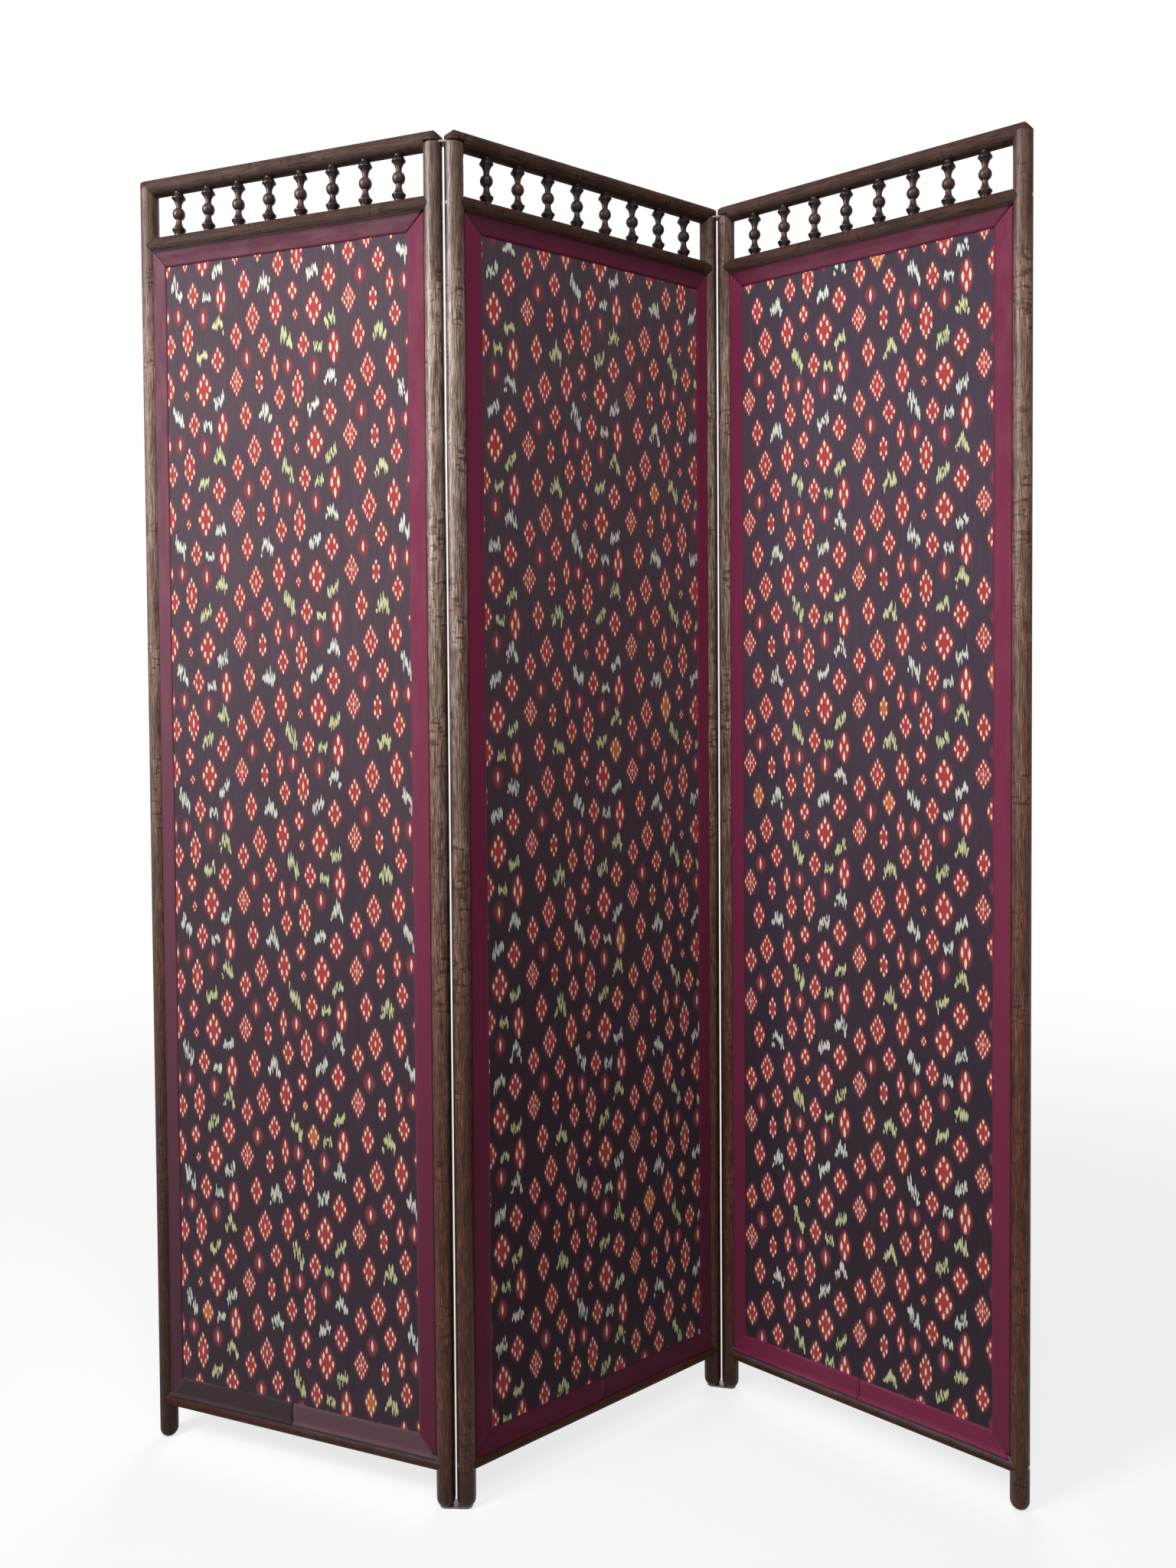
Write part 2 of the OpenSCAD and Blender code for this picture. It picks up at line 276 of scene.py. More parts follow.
class Finish:
    """One procedural material, with a short method for each kind of node that it uses."""

    def __init__(self, name, **constants):
        self.material = bpy.data.materials.new(name)
        self.material.use_nodes = True
        self.tree = self.material.node_tree
        self.tree.nodes.clear()
        self.shader = self.node("ShaderNodeBsdfPrincipled")
        for socket, value in constants.items():
            self.shader.inputs[socket.replace("_", " ")].default_value = value
        output = self.node("ShaderNodeOutputMaterial")
        self.tree.links.new(self.shader.outputs["BSDF"], output.inputs["Surface"])

    def node(self, kind, *values, **settings):
        """A new node with these settings, and with these values fed to its first inputs."""
        node = self.tree.nodes.new(kind)
        for name, value in settings.items():
            setattr(node, name, value)
        for socket, value in zip(node.inputs, values):
            self.feed(socket, value)
        return node

    def feed(self, socket, value):
        """Links a wire to a socket, or sets a plain number, vector or colour on it."""
        if isinstance(value, Wire):
            self.tree.links.new(value.socket, socket)
        else:
            colour = socket.type == "RGBA" and len(value) == 3
            socket.default_value = (*value, 1.0) if colour else value

    def math(self, operation, *values):
        return Wire(self, self.node("ShaderNodeMath", *values, operation=operation).outputs[0])

    def vector(self, x, y, z):
        return Wire(self, self.node("ShaderNodeCombineXYZ", x, y, z).outputs[0])

    def parts(self, vector):
        return [Wire(self, output) for output in self.node("ShaderNodeSeparateXYZ", vector).outputs]

    def attribute(self, name):
        """The three parts of a vector attribute of the mesh."""
        node = self.node("ShaderNodeAttribute", attribute_name=name)
        return self.parts(Wire(self, node.outputs["Vector"]))

    def position(self):
        """Place on the object in millimetres, as three parts."""
        place = Wire(self, self.node("ShaderNodeTexCoord").outputs["Object"])
        return [part * (1 / MM) for part in self.parts(place)]

    def noise(self, x, y, z, detail=2.0, roughness=0.5):
        """Noise from 0 to 1 that changes over about one unit of the point it is read at."""
        node = self.node("ShaderNodeTexNoise", self.vector(x, y, z))
        for title, value in (("Scale", 1.0), ("Detail", detail), ("Roughness", roughness)):
            node.inputs[title].default_value = value
        return Wire(self, node.outputs[0])

    def chance(self, x, y=0.0, z=0.0):
        """An even random number from 0 to 1 for each whole point."""
        node = self.node("ShaderNodeTexWhiteNoise", self.vector(x, y, z), noise_dimensions="3D")
        return Wire(self, node.outputs["Value"])

    def curve(self, value, points):
        """A drawn curve of straight stretches through (place, height) points from 0 to 1."""
        node = self.node("ShaderNodeFloatCurve")
        line = node.mapping.curves[0]
        line.points[0].location = points[0]
        line.points[1].location = points[-1]
        for place, height in points[1:-1]:
            line.points.new(place, height)
        for point in line.points:
            point.handle_type = "VECTOR"
        node.mapping.update()
        self.feed(node.inputs["Value"], value)
        return Wire(self, node.outputs[0])

    def blend(self, share, first, second, way="MIX"):
        """Mixes two colours by a share from 0 to 1. The node has one pair of inputs for each type of
        value: 6 and 7 are its colours, as output 2 is."""
        node = self.node("ShaderNodeMix", share, data_type="RGBA", blend_type=way)
        self.feed(node.inputs[6], first)
        self.feed(node.inputs[7], second)
        return Wire(self, node.outputs[2])

    def shade(self, colour, amount):
        """Multiplies a colour by a number."""
        return self.blend(1.0, colour, self.vector(amount, amount, amount), "MULTIPLY")

    def finish(self, colour, roughness, height, depth, strength=1.0):
        """Feeds the shader its colour, its roughness and a bump of the given depth in metres."""
        self.feed(self.shader.inputs["Base Color"], colour)
        self.feed(self.shader.inputs["Roughness"], roughness)
        bump = self.node("ShaderNodeBump", strength, depth)
        self.feed(bump.inputs["Height"], height)
        self.tree.links.new(bump.outputs["Normal"], self.shader.inputs["Normal"])
        return self.material


# Mesh making

def smooth(share):
    """Smooth step of shares from 0 to 1: three times the square less twice the cube."""
    return share ** 2 * (3 - 2 * share)


def grid_quads(rows, columns, flip):
    """Quads of a grid of points laid out row by row, turned over if flip is set."""
    first = (np.arange(rows - 1)[:, None] * columns + np.arange(columns - 1)).reshape(-1, 1)
    corners = np.array([0, 1, columns + 1, columns])
    return first + (corners[::-1] if flip else corners)


def new_piece(name, points, quads, material, attributes=()):
    """A mesh object from rows of points and quads, shaded smooth, with its vector attributes."""
    mesh = bpy.data.meshes.new(name)
    mesh.from_pydata(points.tolist(), [], quads.tolist())
    mesh.materials.append(material)
    mesh.shade_smooth()
    for title, domain, rows in attributes:
        layer = mesh.attributes.new(title, "FLOAT_VECTOR", domain)
        layer.data.foreach_set("vector", np.ascontiguousarray(rows, np.float32).ravel())
    piece = bpy.data.objects.new(name, mesh)
    bpy.context.scene.collection.objects.link(piece)
    return piece


def lay_bake_map(piece, across, up):
    """A UV map that fills the square: across and up go from 0 to 1, with a value for each face corner."""
    layer = piece.data.uv_layers.new(name="OFBake")
    layer.data.foreach_set("uv", np.column_stack([across, up]).astype(np.float32).ravel())


def mount_sheet(piece, place, node, thickness):
    """Gives a sheet its thickness behind its visible face, and puts it in the place of a panel's node."""
    wall = piece.modifiers.new("Thickness", "SOLIDIFY")
    wall.thickness = thickness
    wall.offset = -1
    wall.use_even_offset = False
    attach(piece, f"{place.name}_panel")
    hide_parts(f"{place.name}_{node}")
    place.carriers()


# The ikat pattern. Millimetres; one repeat is REPEAT[1] high, and the next column of repeats lies
# REPEAT[0] beside it and half a repeat lower.

REPEAT = (173.5, 174.0)
# Where the key motif, the tall ring, lies in the repeat, across and down
KEY_MOTIF = (136.0, 36.0)

# Cells to a ring that isn't there
NO_RING = -9
# Diamonds: dashes lie on a checkerboard of cells, in the ring that is so many cells from the middle.
# Each form: cells to the ring, cells to its sides, cells to a fainter inner ring, length of a middle
# dash, and how far the red body reaches past the ring.
DIAMONDS = {
    "ring": (2, 2, NO_RING, 0, 1.05),
    "slim_ring": (2, 1, NO_RING, 0, 0.95),
    "double_ring": (3, 3, 1, 0.9, 1.1),
    "eyed_ring": (3, 3, NO_RING, 1.3, 1.1),
    "tall_ring": (3, 2, NO_RING, 1.7, 1.0),
    "four_dots": (1, 1, NO_RING, 0, 1.2),
    "bar": (0, 0, NO_RING, 1.0, 1.0),
}
# Pale marks, in the order in which the profiles below hold them
MARKS = ("peak", "fall", "climb", "gate")

# One repeat: form, across, down, width and height
MOTIFS = (
    ("double_ring", 40, 16, 20, 37), ("slim_ring", 76, 21, 15, 34), ("four_dots", 100.5, 5, 14, 30),
    ("bar", 121, 5, 16, 24), ("tall_ring", 136, 36, 17, 49), ("bar", 161, 12.5, 16, 27),
    ("peak", 185, 26, 18, 27), ("ring", 107.5, 44, 17, 35), ("ring", 54, 62.5, 18, 39),
    ("peak", 85, 64, 19, 29), ("climb", 159, 61, 17, 25), ("ring", 184, 71, 20, 37),
    ("four_dots", 129, 81, 16, 24), ("eyed_ring", 67, 109, 21, 41), ("ring", 103, 101, 19, 45),
    ("four_dots", 133, 112.5, 12, 17), ("ring", 161, 107.5, 23, 44), ("climb", 185, 125, 16, 24),
    ("ring", 40.5, 129, 18, 37), ("fall", 119, 141, 17, 34), ("ring", 84, 146, 18, 34),
    ("ring", 145, 152.5, 18, 36), ("gate", 167, 157, 13, 19.5), ("four_dots", 190.5, 161, 17, 35),
    ("bar", 57, 160, 17, 25),
)
# Height of the repeat that the downs above were read in
MOTIF_SPAN = 172.0
# Where the key motif falls on each panel, across and up, and how far its rows drift per unit across
KEY_PLACES = {
    "left": (238.8, 923.2, 0.027),
    "centre": (375.2, 912.9, 0.0),
    "right": (138.5, 917.75, 0.0),
}
# The white rows lie this far below the key motif. Marks turn green from so far off a white row, over
# this reach.
WHITE_ROW_DROP = 11.0
GREEN_START = 38.0
GREEN_REACH = 10.0
# Share of the diamonds that are orange
ORANGE_SHARE = 0.02
# Strokes in half the width of a pale mark
STROKES = 3.7
# Painted light and shade on the ground, lighter high up and darker low down as the lamps' light falls
# off: shares of its red, green and blue low down and high up on each cloth, and the share of it all that
# is left at the very top, painted shade there
SHADED_LOW_GROUND = {"left": (0.58, 0.46, 0.6), "centre": (0.42, 0.32, 0.46), "right": (0.44, 0.36, 0.5)}
LIT_HIGH_GROUND = {"left": (1.38, 1.42, 1.4), "centre": (1.3, 1.32, 1.33), "right": (1.12, 1.22, 1.36)}
SHADED_TOP_GROUND = {"left": 0.9, "centre": 0.98, "right": 0.76}
# Seed of the draws of a motif's orange and of its luck
CLOTH_SEED = 11
# Motifs whose middle is this far outside the cloth may still reach in
MARGIN = 30.0
# How far a cloth's edge stays inside its flat node's, and over how far its ripples fade in
SHEET_INSET = 0.5 * MM
RIPPLE_FADE = 60 * MM


def motif_places(panel, width, height):
    """All motifs that fall on a cloth: one row of across, up, index in MOTIFS and distance from a
    white row for each. Columns of repeats step by REPEAT, each half a repeat lower than the last."""
    key_across, key_up, drift = KEY_PLACES[panel]
    across, down = np.array([motif[1:3] for motif in MOTIFS]).T
    columns = np.arange(-4, 5)[:, None, None]
    levels = np.arange(-14, 15)[None, :, None]
    x = key_across + across - KEY_MOTIF[0] + REPEAT[0] * columns
    drop = (down - KEY_MOTIF[1]) * REPEAT[1] / MOTIF_SPAN + REPEAT[1] / 2 * columns
    z = key_up - drop + REPEAT[1] * levels + drift * (x - key_across)
    from_white = (z - key_up + WHITE_ROW_DROP + REPEAT[1] / 2) % REPEAT[1] - REPEAT[1] / 2
    table = as_rows(x, z, np.arange(len(MOTIFS)), from_white)
    inside = abs(table[:, :2] - (width / 2, height / 2)) < (width / 2 + MARGIN, height / 2 + MARGIN)
    return table[inside.all(1)]


def diamond_cell(form, width, height):
    """Size of a diamond's cell, and of the dash in it as shares of the cell. A bar is one cell. A
    three-cell diamond fills its whole size. The others share what their end dashes leave free."""
    ring, sides = DIAMONDS[form][:2]
    if form == "bar":
        return (width / 2, height / 2), (0.2, 0.66)
    if ring == 3:
        return (width / 2 / (sides + 0.4), height / 2 / (ring + 0.45)), (0.38, 0.6)
    rim = 1.8 if sides > 1 else 3.6
    return ((width / 2 - rim) / sides, (height / 2 - 4.5) / ring), (0.38, 0.56)


def motif_forms():
    """For each motif: its cell, and the shape, stroke, body and kind that the finish reads. A mark's
    cell is its half size, and its kind is 1 or more."""
    forms = []
    for form, _, _, width, height in MOTIFS:
        ring, sides, inner, middle, reach = DIAMONDS.get(form, (-5, 0, NO_RING, 0, 0))
        cell, half, body, kind = (width / 2, height / 2), (1, 1), (1, 1), 0
        if form in DIAMONDS:
            cell, half = diamond_cell(form, width, height)
            body = (1.15, 1.2) if form == "bar" else (sides + reach, ring + reach * 0.9)
        else:
            kind = 1 + MARKS.index(form)
        forms.append((cell, (ring, inner, max(middle, 0.001)), (*half, sides), (*body, 0), kind))
    return [np.array(column, float) for column in zip(*forms)]


def motif_attributes(panel, x, z, quads):
    """Mesh attributes that tell the finish where it is in the nearest motif: for every face the motif
    whose ellipse it lies deepest in, and for every corner its place in that motif's cells."""
    table = motif_places(panel, x.max(), z.max())
    cells, shapes, strokes, bodies, kinds = motif_forms()
    sizes = np.array([motif[3:5] for motif in MOTIFS]) / 2
    index = table[:, 2].astype(int)
    middle_x, middle_z = x[quads].mean(1), z[quads].mean(1)
    away = ((middle_x[:, None] - table[:, 0]) / sizes[index, 0]) ** 2
    away += ((middle_z[:, None] - table[:, 1]) / sizes[index, 1]) ** 2
    nearest = away.argmin(1)
    form = index[nearest]
    corner_x = (x[quads] - table[nearest, 0, None]) / cells[form, 0, None]
    corner_z = (z[quads] - table[nearest, 1, None]) / cells[form, 1, None]
    lattice = as_rows(corner_x, corner_z, cells[form, 1, None])
    random = np.random.default_rng(CLOTH_SEED)
    orange = random.random(len(table)) < ORANGE_SHARE
    green = np.clip((abs(table[:, 3]) - GREEN_START) / GREEN_REACH, 0, 1)
    hue = np.where(kinds[index] > 0, green, orange)
    luck = random.random(len(table))
    dye = np.column_stack([kinds[form], hue[nearest], luck[nearest]])
    return [("lattice", "CORNER", lattice), ("shape", "FACE", shapes[form]),
            ("stroke", "FACE", strokes[form]), ("body", "FACE", bodies[form]), ("dye", "FACE", dye)]


# Profiles of the pale marks: place across from -1 to 1, height of the middle, and half length
MARK_PROFILES = {
    "peak": ((-1, -0.45, 0.2), (-0.7, -0.2, 0.3), (-0.35, 0.15, 0.4), (0, 0.3, 0.5),
             (0.25, 0.25, 0.45), (0.55, -0.1, 0.45), (0.85, -0.35, 0.45), (1, -0.4, 0.2)),
    "fall": ((-1, 0.45, 0.3), (-0.5, 0.45, 0.5), (-0.1, 0.15, 0.35), (0.2, -0.2, 0.3),
             (0.6, -0.45, 0.5), (1, -0.45, 0.3)),
    "climb": ((-1, -0.3, 0.35), (-0.6, -0.2, 0.5), (-0.2, -0.1, 0.4), (0.2, 0.1, 0.3),
              (0.6, 0.35, 0.5), (1, 0.35, 0.4)),
    "gate": ((-1, -0.1, 0.5), (-0.6, 0, 0.6), (-0.2, -0.05, 0.25), (0.2, 0, 0.3),
             (0.6, 0, 0.6), (1, -0.1, 0.5)),
}


def mark_curve(part):
    """The profiles side by side on one curve from 0 to 1, for one of their two heights. Each profile
    fills the middle 0.96 of its share of the curve."""
    points = []
    for count, form in enumerate(MARKS):
        for profile in MARK_PROFILES[form]:
            place = (count + 0.5 + 0.48 * profile[0]) / len(MARKS)
            points.append((place, profile[part] / 2 + 0.5))
    return points


def lens(across, up, half_across, half_up):
    """Share of dye in an upright dash with pointed ends: full where its place across, as a share of the
    half width, plus the square of its place up, as a share of the half height, is well under 1."""
    out = abs(across) / half_across + (up / half_up) ** 2.0
    return out.rise(1.25, 0.55)


def pale_strokes(coat, x_cell, z_cell, kind, luck, shift):
    """One layer of the upright strokes of a pale mark, STROKES to half its width. Each is a dash whose
    middle and half length come from the mark's profile, thrown off by chance."""
    at = x_cell * STROKES + shift
    stroke = at.floor()
    middle_x = (stroke + 0.5 - shift) / STROKES
    place = (kind - 1.0 + (middle_x * 0.48 + 0.5).larger(0.02).smaller(0.98)) / float(len(MARKS))
    middle_z = coat.curve(place, mark_curve(1)) * 2.0 - 1.0
    half = coat.curve(place, mark_curve(2)) * 2.0 - 1.0
    throw = coat.chance(stroke, luck * 97.0, shift) - 0.5
    half = half * (coat.chance(stroke, luck * 61.0, shift + 3.0) * 0.9 + 0.65)
    dye = lens(at - stroke - 0.5, z_cell + throw - middle_z, 0.42, half)
    return dye * abs(middle_x).below(1.02)


def ikat_finish(cloth, panel, width, height):
    """Handwoven cotton with feathered diamonds and marks, drawn thread by thread. width and height are
    the cloth's, in millimetres."""
    coat = Finish(f"{panel}_ikat_cotton", Sheen_Weight=0.1, Sheen_Roughness=0.6, Specular_IOR_Level=0.1)
    bake_map = coat.node("ShaderNodeUVMap", uv_map="OFBake")
    across, up, _ = coat.parts(Wire(coat, bake_map.outputs["UV"]))
    x = across * width
    z = up * height
    thread_mm = cloth.thread / MM
    thread = (x / thread_mm).floor()
    slip = (coat.noise(thread * 3.7, z / 26.0, 0.5, 1.0) - 0.5) * (4.0 * cloth.slip / MM)

    x_cell, z_cell, cell = coat.attribute("lattice")
    ring, inner, middle = coat.attribute("shape")
    half_x, half_z, sides = coat.attribute("stroke")
    body_x, body_z, _ = coat.attribute("body")
    kind, hue, luck = coat.attribute("dye")

    # Nearest cell of the checkerboard that the ring's dashes lie on
    z_slipped = z_cell + slip / cell
    rising = round((x_cell + z_slipped - ring) * 0.5)
    falling = round((x_cell - z_slipped - ring) * 0.5)
    column = rising + falling + ring
    row = rising - falling
    shell = abs(column) + abs(row)
    in_sides = abs(column).below(sides + 0.5)
    chosen = (shell.is_near(ring) * in_sides).larger(shell.is_near(inner) * 0.5)
    fray = coat.chance(thread, 5.0) * 0.35 + 0.82
    dash = chosen * lens(x_cell - column, z_slipped - row, half_x, half_z * fray)
    dash = dash.larger(lens(x_cell, z_slipped, half_x, half_z * middle * fray))
    spread = (z_cell + slip / cell * 1.8) / body_z
    outside = abs(x_cell / body_x) ** 1.5 + abs(spread) ** 1.5
    body = outside.rise(1.15, 0.35)
    core = outside.rise(0.85, 0.3) * ring.smaller(1.0)
    is_diamond = kind.below(0.5)

    # Pale marks: two layers of tapered strokes side by side, thrown about a drawn profile
    mark = pale_strokes(coat, x_cell, z_slipped, kind, luck, 0.0)
    mark = mark.larger(pale_strokes(coat, x_cell, z_slipped, kind, luck, 0.5) * 0.7)
    mark = mark * (1.0 - is_diamond)

    # Colours, from the ground up
    streak = coat.noise(x / 2.4, z / 160.0, 7.0, 3.0, 0.65)
    cloud = coat.noise(x / 70.0, z / 110.0, 1.0, 3.0)
    warp = coat.chance(thread, (z / 7.0).floor(), 1.0)
    weft = coat.noise(x / 2.0, (z / 0.9).floor() * 3.1, 4.0, 0.0)
    # Painted light and shade: the ground darker low down, lighter high up and a little darker at the very
    # top
    low, high = (np.array(cloth.ground) * ground[panel] for ground in (SHADED_LOW_GROUND, LIT_HIGH_GROUND))
    ground = coat.blend(up.rise(0.12, 0.8), tuple(low), tuple(high))
    ground = coat.shade(ground, streak.rise(0.3, 0.7, 0.8, 1.0) * cloud.rise(0.35, 0.7, 1.0, 1.12))
    ground = coat.shade(ground, up.rise(0.8, 1.0, 1.0, SHADED_TOP_GROUND[panel]))
    coral = tuple(0.55 * a + 0.45 * b for a, b in zip(cloth.red, cloth.cream))
    red = coat.blend(core, cloth.halo, coat.blend(hue, cloth.red, cloth.orange))
    red = coat.blend(dash.rise(0.0, 0.5), red, coral)
    colour = coat.blend(body * is_diamond * streak.rise(0.1, 0.5, 0.8, 1.0), ground, red)
    colour = coat.blend(dash.rise(0.3, 0.9) * is_diamond * 0.97, colour, cloth.cream)
    pale = coat.blend(hue, cloth.white, cloth.green)
    colour = coat.blend(mark * 0.95, colour, pale)
    colour = coat.shade(colour, warp * 0.16 + weft * 0.14 + 0.85)

    ribs = (x * (2 * math.pi / thread_mm)).sine() + (z * (2 * math.pi / 0.9)).sine()
    roughness = streak.rise(0.2, 0.8, 0.78, 0.92)
    return coat.finish(colour, roughness, ribs * 0.25 + warp, 0.06 * MM, 0.5)


def lining_finish(cloth):
    """Plain cotton: fine crossed threads, a few thick ones, and faint clouds of dust."""
    coat = Finish("lining_cotton", Sheen_Weight=0.1, Sheen_Roughness=0.6, Specular_IOR_Level=0.2)
    x, y, z = coat.position()
    flat = x + y * 0.7
    warp = coat.noise(flat / 0.7, z / 60.0, 0.0, 1.0)
    weft = coat.noise(flat / 60.0, z / 0.8, 5.0, 1.0)
    cloud = coat.noise(x / 90.0, y / 90.0, z / 140.0, 3.0)
    colour = coat.blend(cloud.rise(0.35, 0.75), cloth.lining, scaled(cloth.lining, 1.15))
    colour = coat.shade(colour, warp * 0.35 + weft * 0.35 + 0.65)
    return coat.finish(colour, cloud.rise(0.2, 0.8, 0.8, 0.95), warp + weft, 0.08 * MM, 0.6)


def stretched_sheet(place, node, side, cloth, material):
    """A cloth stretched over a panel: a flat grid whose depth is the node's face plus slack ripples,
    two products of slow waves, which fade to nothing at the edge by a smooth step. side is -1 at the
    front of the panel and 1 at its back."""
    low, high = place.box(node)
    face = low[1] if side < 0 else high[1]
    columns = round((high[0] - low[0]) / cloth.face_size)
    rows = round((high[2] - low[2]) / cloth.face_size)
    x = np.linspace(low[0] + SHEET_INSET, high[0] - SHEET_INSET, columns)
    z = np.linspace(low[2] + SHEET_INSET, high[2] - SHEET_INSET, rows)
    z, x = np.meshgrid(z, x, indexing="ij")
    across = (x - x.min()) / np.ptp(x)
    up = (z - z.min()) / np.ptp(z)
    inward = np.clip(np.minimum(x - x.min(), x.max() - x) / RIPPLE_FADE, 0, 1)
    inward *= np.clip(np.minimum(z - z.min(), z.max() - z) / RIPPLE_FADE, 0, 1)
    fade = smooth(inward)
    wave = np.sin(2 * np.pi * (across * 2.3 + 0.4 * up)) * np.sin(2 * np.pi * (up * 3.1 + 0.2))
    wave += 0.5 * np.sin(2 * np.pi * (across * 5.1 - 1.3 * up)) * np.sin(2 * np.pi * up * 6.7)
    depth = face + side * cloth.ripple * fade * wave
    quads = grid_quads(rows, columns, side > 0)
    points = place.stand(x, depth, z)
    title = f"{place.name}_ikat_panel" if side < 0 else f"{place.name}_lining_panel"
    attributes = ()
    if side < 0:
        local_x, local_z = x.ravel() / MM, z.ravel() / MM
        attributes = motif_attributes(place.name, local_x, local_z, quads)
    piece = new_piece(title, points, quads, material, attributes)
    lay_bake_map(piece, across.ravel()[quads].ravel(), up.ravel()[quads].ravel())
    width, thickness, height = high - low
    mount_sheet(piece, place, node, thickness)


# Ribbon

RIBBON_WIDTH = 24 * MM
# How far its glued edges stay inside the flat node's
RIBBON_INSET = 0.55 * MM
# Shares of the ribbon's own width that show at the left, right, top and bottom of each cloth, because
# the glued ribbon runs in under the posts more here and less there
RIBBON_SHOWS = {
    "left": (0.9, 1.03, 0.97, 1.04),
    "centre": (1.07, 0.91, 1.0, 1.02),
    "right": (0.91, 1.0, 0.97, 1.05),
}
# How dusty each stretch of the front ribbon is, the grey standing partly for dust and partly for a
# painted sheen: left, right, top, foot left and foot right; and the share of its colour that is left in
# its lowest part, painted shade near the floor
RIBBON_DUST_AND_SHEEN = {
    "left": (0.5, 0.12, 0.25, 0.85, 0.8),
    "centre": (0.02, 0.02, 0.12, 0.0, 0.0),
    "right": (0.03, 0.05, 0.05, 0.08, 0.12),
}
RIBBON_LOW_SHADE = {
    "left": (0.45, 0.55, 1.0, 0.36, 1.0),
    "centre": (0.55, 0.45, 1.0, 0.5, 0.4),
    "right": (0.8, 0.8, 1.0, 0.95, 1.0),
}
# The same two for the ribbon on the back
BACK_DUST = 0.08
BACK_LOW_SHADE = 0.85
# How far the ribbon laps over the mid rail and over the bottom rail
TOP_LAP = 1.4 * MM
FOOT_LAP = 4.0 * MM
# Thickness of the glue under it, and how far beside an upright a level stretch comes down from it
GLUE = 0.04 * MM
STEP_REACH = 4 * MM
# How far its middle stands out, how far from an end a bow fades, and how high up its painted shade near
# the floor reaches
CROWN = 0.1 * MM
BOW_FADE = 12 * MM
LOW_SHADE_HEIGHT = 1.1
# Where the ribbon's two ends meet at the foot of the cloth, from the first post, how wide the gap
# between them is, and how far it bows
RIBBON_JOINS = {"left": (0.2105, 1.6 * MM, -1.8 * MM), "centre": (0.219, 0.5 * MM, 0.6 * MM),
                "right": (0.2135, 1.8 * MM, 2.2 * MM)}
# How long the part of a loose end is that lifts. On the centre panel: how far its corner rolls up and
# draws back, and how far the end lies over the other one.
LOOSE_LENGTH = 10 * MM
CORNER_RISE = 1.3 * MM
CORNER_DRAW = 3.5 * MM
END_OVERLAP = 1.6 * MM
# Share of a stretch's band in the bake map that stays free at both edges
BAND_MARGIN = 0.04


def waver(run, seed, amount):
    """Slow irregular line of the given amount: three sines whose phases follow from the seed."""
    return amount * (np.sin(run * 21 + seed) + 0.6 * np.sin(run * 47 + 2.3 * seed)
                     + 0.35 * np.sin(run * 103 + 4.1 * seed)) / 1.4


class Strip:
    """One straight stretch of ribbon: a grid along and across it, in panel coordinates."""

    ACROSS = 9
    STEP = 5 * MM

    def __init__(self, outer, inner, start, end, seed, dust, low, upright):
        """outer and inner are the places of its two edges, start and end the places of its ends at
        the outer edge and the inner edge, each as a pair. Its points lie closer to the outer edge,
        where it may bend over a rail."""
        self.across = np.linspace(0, 1, self.ACROSS)[None, :] ** 1.5
        span = max(abs(end[0] - start[0]), abs(end[1] - start[1]))
        self.along = np.linspace(0, 1, max(2, round(span / self.STEP)))[:, None]
        first = start[0] + (start[1] - start[0]) * self.across
        last = end[0] + (end[1] - end[0]) * self.across
        self.run = first + (last - first) * self.along
        self.cross = outer + (inner - outer) * self.across
        self.inward = np.sign(inner - outer)
        self.seed = seed
        self.dust = dust
        # Share of its colour left at the floor, painted shade
        self.low = low
        self.upright = upright
        self.under = 0.0
        self.lift = np.zeros_like(self.run)

    def bend_ends(self, start_bow, end_bow):
        """Bows the two ends along the strip by a half sine across it, fading over BOW_FADE."""
        bow = np.sin(np.pi * self.across)
        near_start = np.clip(1 - (self.run - self.run.min(0)) / BOW_FADE, 0, 1)
        near_end = np.clip(1 - (self.run.max(0) - self.run) / BOW_FADE, 0, 1)
        self.run = self.run + bow * (start_bow * near_start + end_bow * near_end)

    def waver_edge(self, amount):
        """Moves the inner edge sideways by a slow irregular line. The outer edge stays, and the points
        between move in proportion."""
        self.cross = self.cross + self.inward * waver(self.run, self.seed, amount) * self.across

    def lap_rail(self, middle, radius, plane):
        """Bends the outer part of a level stretch over the rail that it is glued to: lifts it from the
        cloth's plane to the round surface of a rail of that radius, by Pythagoras."""
        over = np.minimum(abs(self.cross - middle), radius)
        surface = np.sqrt(radius ** 2 - over ** 2)
        self.lift = self.lift + np.maximum(surface - plane, 0)

    def low_shade(self):
        """Painted shade near the floor: share of its colour that is left at every point, all of it above
        the height where this shade starts, and down to its low share at the floor by a smooth step."""
        depth = np.clip(1 - (self.run if self.upright else self.cross) / LOW_SHADE_HEIGHT, 0, 1)
        return 1 - (1 - self.low) * smooth(depth)

    def places(self):
        """Across, height and lift of every point of the grid, whatever way the strip runs. Its middle
        stands out by a half sine across it."""
        lift = self.lift + CROWN * np.sin(np.pi * self.across)
        return (self.cross, self.run, lift) if self.upright else (self.run, self.cross, lift)


